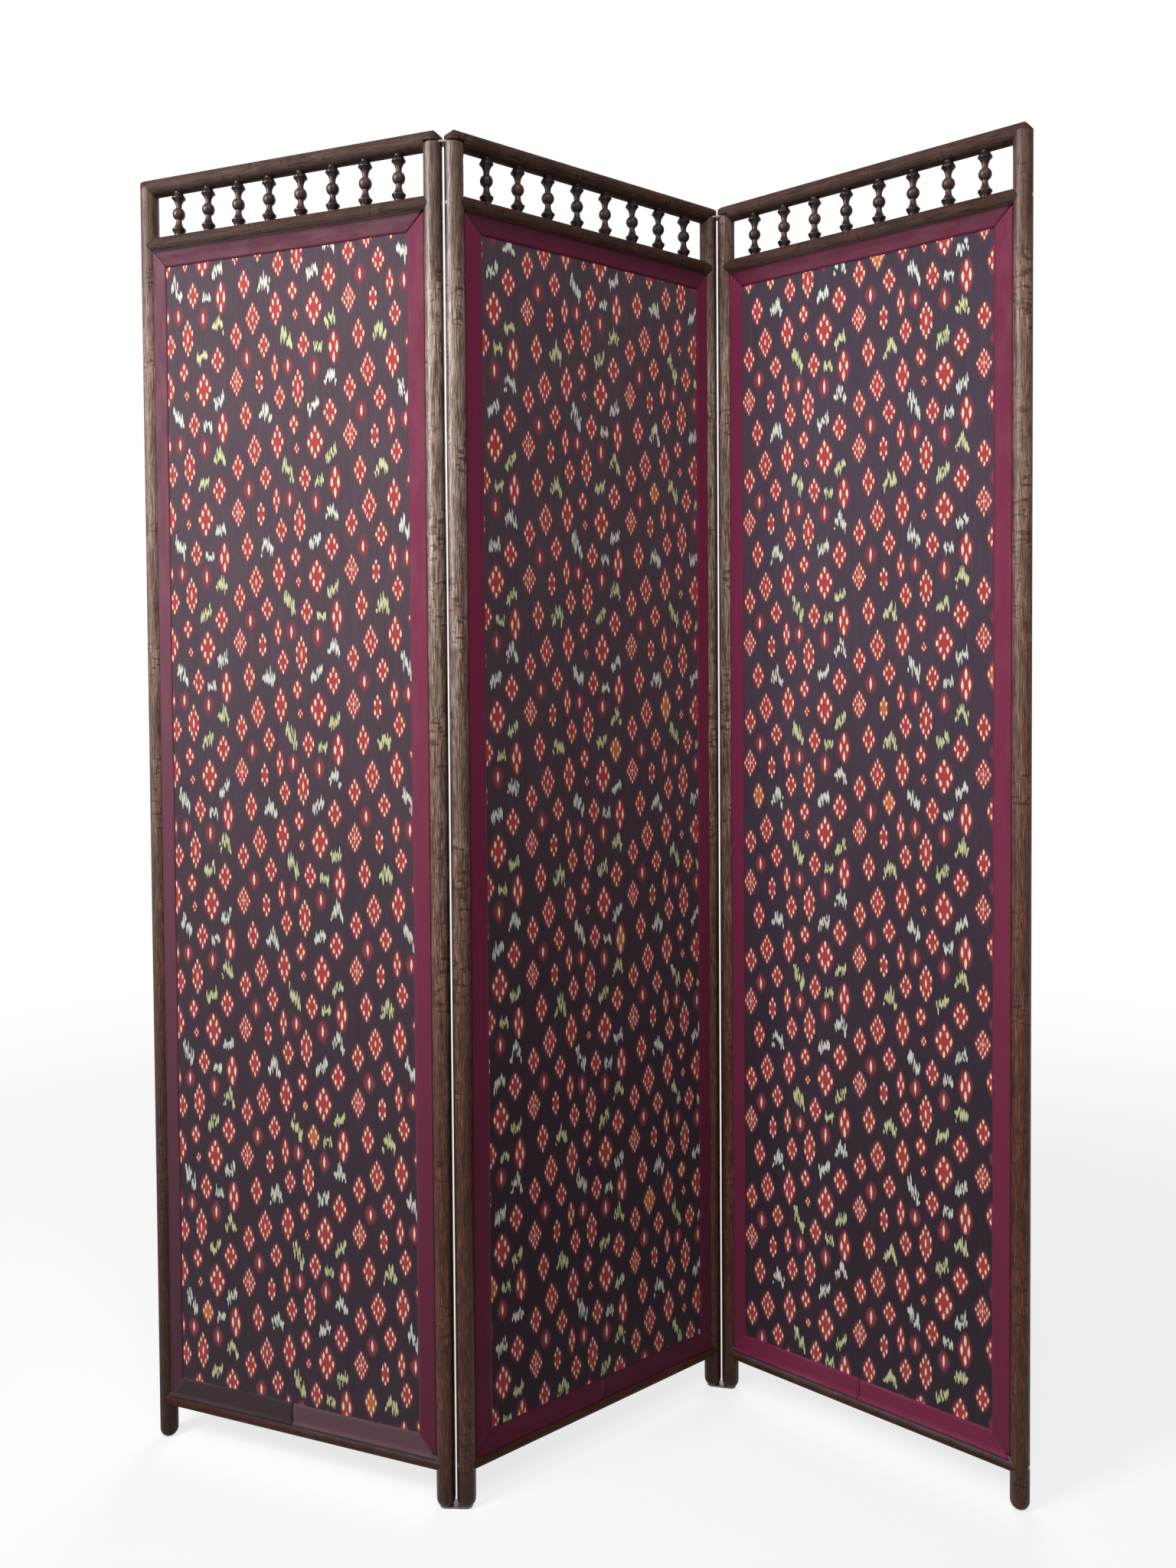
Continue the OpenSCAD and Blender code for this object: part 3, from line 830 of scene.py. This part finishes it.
def ribbon_strips(place, side, ribbon):
    """The five stretches of ribbon round one cloth. The upright ones run the whole height. The top
    one and the two at the foot are cut at about 45 degrees at the corners, and lie one layer up over
    the uprights there, with a smooth step beside them."""
    front = side < 0
    low, high = place.box("front_ribbon" if front else "back_ribbon")
    left, right = low[0] + RIBBON_INSET, high[0] - RIBBON_INSET
    foot, top = low[2] + RIBBON_INSET, high[2] - RIBBON_INSET
    shows = RIBBON_SHOWS[place.name] if front else [1.0] * 4
    dust = RIBBON_DUST_AND_SHEEN[place.name] if front else [BACK_DUST] * 5
    low_shade_share = RIBBON_LOW_SHADE[place.name] if front else [BACK_LOW_SHADE] * 5
    inner_left, inner_right = left + shows[0] * RIBBON_WIDTH, right - shows[1] * RIBBON_WIDTH
    inner_top, inner_foot = top - shows[2] * RIBBON_WIDTH, foot + shows[3] * RIBBON_WIDTH
    join, gap, bow = RIBBON_JOINS[place.name]
    start, end = foot + RIBBON_INSET, top - RIBBON_INSET
    # Of each stretch its outer and inner edge, and where both edges start and end
    stretches = (
        (left, inner_left, (start, start), (end, end)),
        (right, inner_right, (start, start), (end, end)),
        (top + TOP_LAP, inner_top, (left, inner_left), (right, inner_right)),
        (foot - FOOT_LAP, inner_foot, (left, inner_left), (join, join)),
        (foot - FOOT_LAP, inner_foot, (join + gap, join + gap), (right, inner_right)),
    )
    seed = 3.0 * PLACES.index(place) + (1.0 if front else 11.0)
    strips = [
        Strip(*stretch, seed + number, dust[number], low_shade_share[number], number < 2)
        for number, stretch in enumerate(stretches)
    ]
    levels = strips[2:]
    # The top one gets painted shade, the shadow of the mid rail
    levels[0].under = 1.0
    levels[1].bend_ends(0, bow)
    levels[2].bend_ends(bow * 0.6, 0)
    for strip in strips:
        strip.waver_edge(ribbon.waver)
    plane = max(abs(low[1]), abs(high[1])) - abs(high[1] - low[1]) + ribbon.layer
    for strip, rail in zip(levels, ("mid_rail", "bottom_rail", "bottom_rail")):
        over = np.minimum(strip.run - inner_left, inner_right - strip.run)
        over = np.clip(1 - over / STEP_REACH, 0, 1)
        strip.lift = ribbon.layer * 1.06 * smooth(over)
        rail_low, rail_high = place.box(rail)
        radius = (rail_high[2] - rail_low[2]) / 2
        strip.lap_rail((rail_high[2] + rail_low[2]) / 2, radius + ribbon.layer, plane)
    curl_loose_end(levels[1], ribbon, place.name)
    return strips


def curl_loose_end(strip, ribbon, panel):
    """Lifts the loose end of a stretch at the foot: its last part rises by a square law, and on the
    centre panel the end lies over the other one, with its lower corner rolled up."""
    near_end = np.clip(1 - (strip.run.max(0) - strip.run) / LOOSE_LENGTH, 0, 1) ** 2
    rise = 0.25 if panel != "centre" else 0.8
    strip.lift = strip.lift + near_end * ribbon.layer * rise
    if panel == "centre":
        corner = near_end * np.clip(1 - strip.across / 0.45, 0, 1)
        strip.lift = strip.lift + CORNER_RISE * corner
        strip.run = strip.run - CORNER_DRAW * corner + END_OVERLAP * near_end


def ribbon_finish(ribbon):
    """Woven ribbon: fine ribs across its length, a faint sheen, slightly darker edges, a painted shadow
    along its outer edge, stretches greyed by dust and painted sheen, and painted shade under the mid
    rail, low down and high up.
    """
    wide = RIBBON_WIDTH / MM
    coat = Finish("wine_ribbon", Sheen_Weight=0.1, Sheen_Roughness=0.5, Specular_IOR_Level=0.12)
    along, across, dust = coat.attribute("weave")
    under, low_shade, _ = coat.attribute("shadow")
    rib = (along * (2 * math.pi / 0.75)).sine()
    thread = coat.noise(along / 24.0, across / 0.5, 1.0, 2.0)
    cloud = coat.noise(along / 55.0, across / 16.0, dust * 20.0, 3.0, 0.6)
    edge = abs(across - wide / 2).rise(9.6, 11.8)
    outer = across.rise(2.2, 0.4)
    # Greying towards the dust colour: partly dust, partly a painted grey sheen
    share = (dust + (cloud - 0.5) * 0.5).rise(0.05, 0.95, 0.0, 0.95)
    colour = coat.blend(share, ribbon.wine, ribbon.dust)
    colour = coat.blend(cloud.rise(0.55, 0.8) * 0.3, colour, scaled(ribbon.wine, 1.3))
    colour = coat.shade(colour, thread * 0.3 + 0.85)
    # Slightly darker edges, and a painted shadow in the outer 2 mm next to the post or rail
    colour = coat.shade(colour, 1.0 - edge * 0.16 - outer * 0.5)
    # Painted shadow of the mid rail on the top stretch, darkest at its outer edge
    colour = coat.shade(colour, 1.0 - under * across.rise(wide, 0.0, 0.3, 0.6))
    # Painted shade low down, to each stretch's low share at the floor, and high up above 1150 mm
    colour = coat.shade(colour, low_shade * coat.position()[2].rise(1150.0, 1600.0, 1.0, 0.8))
    return coat.finish(colour, cloud.rise(0.3, 0.7, 0.6, 0.8), rib * 0.4 + thread, 0.08 * MM, 0.55)


def lay_ribbon(place, side, ribbon, material):
    """Joins the five stretches of one ribbon in one piece, with a woven lay for its finish and a bake
    map in which each stretch has a band of its own."""
    node = "front_ribbon" if side < 0 else "back_ribbon"
    low, high = place.box(node)
    base = (high[1] if side < 0 else low[1]) + side * (ribbon.layer + GLUE)
    points, quads, weave, shadow, bands = [], [], [], [], []
    count = 0
    strips = ribbon_strips(place, side, ribbon)
    for number, strip in enumerate(strips):
        x, z, lift = strip.places()
        points.append(place.stand(x, base + side * lift, z))
        # A grid whose rows run up and whose columns run right faces the front
        faces_front = (strip.inward > 0) == strip.upright
        quad = grid_quads(*x.shape, faces_front == (side > 0))
        quads.append(quad + count)
        count += x.size
        weave.append(as_rows(strip.run / MM, strip.across * RIBBON_WIDTH / MM, strip.dust))
        shadow.append(as_rows(strip.under, strip.low_shade(), 0.0))
        within = BAND_MARGIN + (1 - 2 * BAND_MARGIN) * strip.across
        band = as_rows(strip.along, (number + within) / len(strips))
        bands.append(band[quad.ravel()])
    attributes = [("weave", "POINT", np.concatenate(weave)), ("shadow", "POINT", np.concatenate(shadow))]
    piece = new_piece(f"{place.name}_{node}_tape", np.concatenate(points), np.concatenate(quads),
                      material, attributes)
    lay_bake_map(piece, *np.concatenate(bands).T)
    mount_sheet(piece, place, node, ribbon.layer)


# Wood and metal

def oak_finish(wood, name, body, look, seam=None, turn=None, dust=None):
    """Fumed oak with its grain along the bar: a body colour that is redder low down, short open pores,
    fine light flecks, dark runs of old varnish and rubbed grey ones. The look is the share of rubbed
    varnish, the share of flecks, the roughness, and the share of colour left at the foot, which is
    painted shade. seam is the place of the seam that a post faces, where it gets painted shade. turn is
    the heading of a rail. dust is the height above which a rail is dusty, where it starts and ends, and
    how dusty it is there."""
    worn, flecked, rough, foot = look
    coat = Finish(name, Specular_IOR_Level=0.2 if turn is None else 0.1)
    x, y, z = coat.position()
    if turn is None:
        side, depth, run = x, y, z
    else:
        run = x * math.cos(turn) + y * math.sin(turn)
        side = y * math.cos(turn) - x * math.sin(turn)
        depth = z
    streak = coat.noise(side / 4.0, depth / 4.0, run / 120.0, 3.0, 0.6)
    pore = coat.noise(side / 0.9, depth / 0.9, run / 28.0, 2.0, 0.5)
    fleck = coat.noise(side / 0.8, depth / 0.8, run / 20.0, 2.0, 0.6)
    blotch = coat.noise(x / 40.0, y / 40.0, z / 70.0, 3.0, 0.6)
    rub = coat.noise(side / 5.0, depth / 5.0, run / 60.0, 4.0, 0.7)
    ripple = coat.noise(side / 12.0, depth / 12.0, run / 4.5, 1.0, 0.4)
    height = z / (SCREEN_HEIGHT / MM)
    high = height.rise(0.2, 0.82)
    rubbed = high * height.rise(0.86, 0.95, 1.0, 0.35) * worn
    colour = coat.blend(high, wood.low, body)
    colour = coat.blend(rub.rise(0.38, 0.62) * rubbed, colour, wood.worn)
    colour = coat.blend(streak.rise(0.52, 0.7) * 0.6, colour, wood.dark)
    light = fleck.rise(0.54, 0.64)
    colour = coat.blend(light * high.rise(1.0, 0.1, 0.25, 0.6) * flecked, colour, wood.amber)
    colour = coat.blend(light * rubbed * 0.9, colour, wood.pale)
    colour = coat.blend(pore.rise(0.54, 0.64) * (0.35 + 0.4 * flecked), colour, wood.dark)
    colour = coat.blend(ripple.rise(0.54, 0.64) * blotch.rise(0.48, 0.6) * 0.7, colour, wood.dark)
    if dust:
        base, start, end, first, last = dust
        share = z.rise(base, base + 8.0) * rub.rise(0.3, 0.55, 0.5, 1.0)
        colour = coat.blend(share * run.rise(start, end, first, last), colour, wood.dust)
    colour = coat.shade(colour, blotch.rise(0.3, 0.7, 0.72, 1.12))
    # Darker near the top, and painted shade on the feet near the floor
    colour = coat.shade(colour, z.rise(110.0, 25.0, 1.0, 0.6) * height.rise(0.86, 0.95, 1.0, 0.6))
    # Painted shade over the lower half of the post, down to its foot share
    if foot < 1:
        colour = coat.shade(colour, height.rise(0.05, 0.55, foot, 1.0))
    # Painted shade on the side of a post that faces the other post of its hinge
    if seam is not None:
        off_x, off_y = x - float(seam[0]), y - float(seam[1])
        away = (off_x * off_x + off_y * off_y).root()
        colour = coat.shade(colour, away.rise(3.0, 13.0, 0.15, 1.0))
    roughness = rub.rise(0.3, 0.7, rough, rough + 0.12) + pore.rise(0.5, 0.65) * 0.2
    return coat.finish(colour, roughness, streak * 0.3 - pore + fleck * 0.7, 0.3 * MM, 0.8)


def spindle_finish(wood, rubbed):
    """Dark turned oak: fine rings left by the tool, short pores, and ends darker than the ball. The
    rubbed ones have a reddish brown ball."""
    coat = Finish("rubbed_spindle_oak" if rubbed else "black_spindle_oak", Specular_IOR_Level=0.2)
    x, y, z = coat.position()
    pore = coat.noise(x / 0.6, y / 0.6, z / 5.0, 2.0, 0.6)
    patch = coat.noise(x / 6.0, y / 6.0, z / 9.0, 3.0)
    off_ball = abs(z - SPINDLE_MIDDLE)
    colour = coat.blend(patch.rise(0.45, 0.75) * (0.6 if rubbed else 0.2), wood.spindle, wood.brown)
    if rubbed:
        colour = coat.blend(off_ball.rise(18.0, 6.0), colour, wood.ball)
    colour = coat.blend(pore.rise(0.56, 0.7) * 0.6, colour, scaled(wood.spindle, 0.4))
    colour = coat.shade(colour, off_ball.rise(11.0, 22.0, 1.2, 0.6))
    ring = (z * (2 * math.pi / 0.9)).sine()
    return coat.finish(colour, patch.rise(0.2, 0.8, 0.3, 0.45), ring * 0.2 - pore, 0.12 * MM, 0.5)


def nail_finish(wood):
    """Bright hammered steel: small dents, dull in the hollows."""
    coat = Finish("hammered_nail", Metallic=1.0)
    x, y, z = coat.position()
    dent = coat.noise(x / 0.9, y / 0.9, z / 0.9, 2.0)
    colour = coat.blend(dent.rise(0.3, 0.6), scaled(wood.nail, 0.45), wood.nail)
    return coat.finish(colour, dent.rise(0.3, 0.7, 0.5, 0.25), dent, 0.2 * MM, 0.8)


def hinge_finish(wood):
    """Dull grey steel strip with fine file marks and brown specks."""
    coat = Finish("hinge_steel", Metallic=0.9)
    x, y, z = coat.position()
    mark = coat.noise(x / 0.4, y / 5.0, z / 0.4, 2.0)
    speck = coat.noise(x / 1.4, y / 1.4, z / 1.4, 3.0)
    colour = coat.blend(mark.rise(0.3, 0.7), scaled(wood.steel, 0.6), wood.steel)
    colour = coat.blend(speck.rise(0.55, 0.7) * 0.7, colour, wood.dark)
    return coat.finish(colour, speck.rise(0.3, 0.7, 0.4, 0.65), mark + speck, 0.08 * MM, 0.6)


# Looks of the posts: rubbed varnish, flecks, roughness, and share of colour left at the foot, which is
# painted shade
POST_LOOKS = {
    "left_outer_post": (0.55, 0.8, 0.5, 0.45), "left_hinge_post": (1.0, 1.0, 0.26, 1.0),
    "centre_left_post": (1.0, 1.0, 0.26, 0.85), "centre_right_post": (0.8, 1.0, 0.4, 0.8),
    "right_hinge_post": (0.85, 1.0, 0.36, 0.85), "right_outer_post": (0.4, 1.0, 0.36, 1.0),
}
# The two posts of each hinge
SEAMS = (("left_hinge_post", "centre_left_post"), ("centre_right_post", "right_hinge_post"))
# Looks of the rails, and how dusty the bottom ones are at their first and second post
RAIL_LOOKS = {
    "top": (0.2, 0.4, 0.6, 1.0),
    "mid": (0.08, 0.3, 0.65, 1.0),
    "bottom": (0.2, 0.4, 0.6, 1.0),
}
RAIL_DUST = {"left": (0.0, 0.7), "centre": (0.0, 0.05), "right": (0.7, 1.0)}
# How far below a rail's middle its dust begins, in millimetres
DUST_DROP = 3.0
# The redder spindles of each panel, counted from its first post
RUBBED_SPINDLES = {"left": (1, 3, 5, 7, 8), "centre": (2, 5), "right": (2, 3, 7, 8)}


def give_finish(nodes, material):
    """Puts one material on every material slot of the given CAD nodes."""
    for name in nodes:
        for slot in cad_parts[name].material_slots:
            slot.material = material


# Operators

class SCREEN_OT_stretch_cloths(bpy.types.Operator):
    """Stretch the patterned cloth over the front of each panel"""

    bl_idname = "screen.stretch_cloths"
    bl_label = "Stretch Patterned Cloths"

    def execute(self, context):
        cloth = context.scene.screen_cloth
        for place in PLACES:
            low, high = place.box("cloth")
            width, _, height = (high - low - 2 * SHEET_INSET) / MM
            material = ikat_finish(cloth, place.name, float(width), float(height))
            stretched_sheet(place, "cloth", -1, cloth, material)
        return {"FINISHED"}


class SCREEN_OT_stretch_linings(bpy.types.Operator):
    """Stretch the plain lining over the back of each panel"""

    bl_idname = "screen.stretch_linings"
    bl_label = "Stretch Linings"

    def execute(self, context):
        cloth = context.scene.screen_cloth
        material = lining_finish(cloth)
        for place in PLACES:
            stretched_sheet(place, "lining", 1, cloth, material)
        return {"FINISHED"}


class SCREEN_OT_glue_ribbons(bpy.types.Operator):
    """Glue the ribbons round the cloths and linings"""

    bl_idname = "screen.glue_ribbons"
    bl_label = "Glue Ribbons"

    def execute(self, context):
        ribbon = context.scene.screen_ribbon
        material = ribbon_finish(ribbon)
        for place in PLACES:
            for side in (-1, 1):
                lay_ribbon(place, side, ribbon, material)
        return {"FINISHED"}


class SCREEN_OT_stain_frames(bpy.types.Operator):
    """Stain and varnish the posts and rails, with the grain along each bar"""

    bl_idname = "screen.stain_frames"
    bl_label = "Stain Posts and Rails"

    def execute(self, context):
        wood = context.scene.screen_wood
        for post, look in POST_LOOKS.items():
            seam = next((sum(map(Place.middle, pair)) / 2 / MM for pair in SEAMS if post in pair), None)
            give_finish([post], oak_finish(wood, f"{post}_oak", wood.brown, look, seam))
        for place in PLACES:
            start = float(place.start @ place.along) / MM
            for level, look in RAIL_LOOKS.items():
                rail = f"{place.name}_{level}_rail"
                middle = sum(corner[2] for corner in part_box(rail)) / 2 / MM
                dust = (middle - DUST_DROP, start, start + place.pitch / MM, *RAIL_DUST[place.name])
                oak = oak_finish(wood, f"{rail}_oak", wood.rail, look, None, place.turn,
                                 dust if level == "bottom" else None)
                give_finish([rail], oak)
        return {"FINISHED"}


class SCREEN_OT_stain_spindles(bpy.types.Operator):
    """Stain the turned spindles"""

    bl_idname = "screen.stain_spindles"
    bl_label = "Stain Spindles"

    def execute(self, context):
        wood = context.scene.screen_wood
        rubbed = {
            f"{panel}_spindle_{count}"
            for panel, counts in RUBBED_SPINDLES.items() for count in counts
        }
        give_finish(rubbed, spindle_finish(wood, True))
        give_finish(set(SPINDLES) - rubbed, spindle_finish(wood, False))
        return {"FINISHED"}


class SCREEN_OT_finish_metal(bpy.types.Operator):
    """Finish the nails, and the links and pins of the hinges"""

    bl_idname = "screen.finish_metal"
    bl_label = "Finish Nails and Hinges"

    def execute(self, context):
        wood = context.scene.screen_wood
        give_finish([f"{place.name}_rail_nails" for place in PLACES], nail_finish(wood))
        pins = [f"{place.name}_hinge_pins" for place in PLACES]
        give_finish([*pins, "left_hinge_links", "right_hinge_links"], hinge_finish(wood))
        return {"FINISHED"}


class SCREEN_OT_set_stage(bpy.types.Operator):
    """Set the floor, the room light, the lamps and the camera"""

    bl_idname = "screen.set_stage"
    bl_label = "Set Stage"

    def execute(self, context):
        stage = context.scene.screen_stage
        lay_floor()
        light_room(context.scene, stage)
        # Place, target, and width and height of each lamp
        hang_lamp("key_lamp", (-2.1, -1.5, 2.7), (0, 0, 1.4), (1.0, 1.0), stage.key_power)
        hang_lamp("fill_lamp", (0.25, -1.8, 3.0), (0.1, 0, 1.5), (1.2, 1.2), stage.fill_power)
        hang_lamp("back_lamp", (0.6, 3.0, 2.6), (0, 0, 1.0), (2.0, 2.0), stage.back_power)
        window = hang_lamp("window_lamp", (-2.32, -1.14, 2.0), (-0.1, -0.1, 1.6), (0.3, 1.4),
                           stage.window_power)
        window.visible_diffuse = False
        window.visible_camera = False
        set_camera(context.scene, stage)
        context.scene.view_settings.view_transform = "Standard"
        return {"FINISHED"}


def whiteness(coat):
    """1 for what the camera, a gloss or a clear surface sees, and 0 for what lights the object."""
    path = coat.node("ShaderNodeLightPath")
    rays = ("Is Camera Ray", "Is Glossy Ray", "Is Transmission Ray")
    camera, gloss, clear = (Wire(coat, path.outputs[ray]) for ray in rays)
    return camera.larger(gloss).larger(clear)


def lay_floor():
    """A round floor. Near the screen it is a plain pale surface that takes its shadow; it turns to the
    white of the backdrop by a smooth rise between 1.2 and 3 m from the middle."""
    mesh = bpy.data.meshes.new("floor")
    radius, corners = 9.0, 96
    turns = np.linspace(0, 2 * np.pi, corners, endpoint=False)
    rim = np.column_stack([radius * np.cos(turns), radius * np.sin(turns), np.zeros(corners)])
    mesh.from_pydata(rim.tolist(), [], [list(range(corners))])
    floor = bpy.data.objects.new("floor", mesh)
    bpy.context.scene.collection.objects.link(floor)
    coat = Finish("floor_paint", Roughness=0.9, Specular_IOR_Level=0.1)
    x, y, _ = coat.position()
    away = (x * x + y * y).root()
    seen = whiteness(coat)
    coat.feed(coat.shader.inputs["Base Color"], coat.blend(seen, (0.35, 0.35, 0.35), (0.95, 0.95, 0.95)))
    share = away.rise(1200.0, 3000.0, 0.72, 1.0) * seen
    glow = coat.node("ShaderNodeEmission")
    mix = coat.node("ShaderNodeMixShader")
    coat.feed(mix.inputs[0], share)
    coat.tree.links.new(coat.shader.outputs["BSDF"], mix.inputs[1])
    coat.tree.links.new(glow.outputs[0], mix.inputs[2])
    output = next(node for node in coat.tree.nodes if node.type == "OUTPUT_MATERIAL")
    coat.tree.links.new(mix.outputs[0], output.inputs["Surface"])
    mesh.materials.append(coat.material)


def light_room(scene, stage):
    """Pale room light from everywhere, and plain white where the background is seen."""
    world = bpy.data.worlds.new("room")
    scene.world = world
    world.use_nodes = True
    tree = world.node_tree
    background = next(node for node in tree.nodes if node.type == "BACKGROUND")
    background.inputs["Color"].default_value = (1, 1, 1, 1)
    path = tree.nodes.new("ShaderNodeLightPath")
    last = None
    strengths = {"Is Camera Ray": 1.0, "Is Glossy Ray": stage.gloss, "Is Transmission Ray": 1.0}
    for ray, strength in strengths.items():
        node = tree.nodes.new("ShaderNodeMath")
        node.operation = "MULTIPLY_ADD"
        tree.links.new(path.outputs[ray], node.inputs[0])
        node.inputs[1].default_value = strength
        if last:
            tree.links.new(last.outputs[0], node.inputs[2])
        else:
            node.inputs[2].default_value = stage.ambient
        last = node
    tree.links.new(last.outputs[0], background.inputs["Strength"])


def hang_lamp(name, place, target, size, power):
    """A soft lamp of a width and height at a place, turned to a target."""
    data = bpy.data.lights.new(name, "AREA")
    data.shape = "RECTANGLE"
    data.size, data.size_y = size
    data.energy = power
    lamp = bpy.data.objects.new(name, data)
    aim = Vector(target) - Vector(place)
    lamp.matrix_world = Matrix.Translation(place) @ aim.to_track_quat("-Z", "Y").to_matrix().to_4x4()
    bpy.context.scene.collection.objects.link(lamp)
    return lamp


def set_camera(scene, stage):
    """The camera of the photograph: looks along +Y, dipped, rolled about its line of sight, with the
    picture's middle shifted off that line."""
    data = bpy.data.cameras.new("camera")
    data.sensor_width = 36.0
    data.lens = stage.focal_pixels * data.sensor_width / PHOTO_HEIGHT
    data.shift_x = -stage.centre_right / PHOTO_HEIGHT
    data.shift_y = -stage.centre_up / PHOTO_HEIGHT
    dip, roll = stage.dip, stage.roll
    ahead = np.array([0, math.cos(dip), -math.sin(dip)])
    up = np.array([0, math.sin(dip), math.cos(dip)])
    right = np.array([1.0, 0, 0])
    turned_right = math.cos(roll) * right + math.sin(roll) * up
    turned_up = math.cos(roll) * up - math.sin(roll) * right
    axes = np.column_stack([turned_right, turned_up, -ahead])
    camera = bpy.data.objects.new("camera", data)
    camera.matrix_world = Matrix.Translation(stage.eye) @ Matrix(axes.tolist()).to_4x4()
    scene.collection.objects.link(camera)
    scene.camera = camera


OPERATORS = (
    SCREEN_OT_set_stage, SCREEN_OT_stretch_cloths, SCREEN_OT_stretch_linings, SCREEN_OT_glue_ribbons,
    SCREEN_OT_stain_frames, SCREEN_OT_stain_spindles, SCREEN_OT_finish_metal,
)


class SCREEN_PT_workshop(bpy.types.Panel):
    """Lists the steps that dress the screen"""

    bl_label = "Folding Room Screen"
    bl_idname = "SCREEN_PT_workshop"
    bl_space_type = "VIEW_3D"
    bl_region_type = "UI"
    bl_category = "Screen"

    def draw(self, context):
        for step in OPERATORS:
            self.layout.operator(step.bl_idname)


SETTINGS = {
    "screen_cloth": ScreenClothSettings,
    "screen_ribbon": ScreenRibbonSettings,
    "screen_wood": ScreenWoodSettings,
    "screen_stage": ScreenStageSettings,
}


def register():
    for group in SETTINGS.values():
        bpy.utils.register_class(group)
    for title, group in SETTINGS.items():
        setattr(bpy.types.Scene, title, bpy.props.PointerProperty(type=group))
    for step in OPERATORS:
        bpy.utils.register_class(step)
    bpy.utils.register_class(SCREEN_PT_workshop)


def unregister():
    bpy.utils.unregister_class(SCREEN_PT_workshop)
    for step in reversed(OPERATORS):
        bpy.utils.unregister_class(step)
    for title in SETTINGS:
        delattr(bpy.types.Scene, title)
    for group in reversed(SETTINGS.values()):
        bpy.utils.unregister_class(group)


def main():
    """Dresses the screen."""
    register()
    for step in OPERATORS:
        group, action = step.bl_idname.split(".")
        getattr(getattr(bpy.ops, group), action)()


if __name__ == "__main__":
    main()
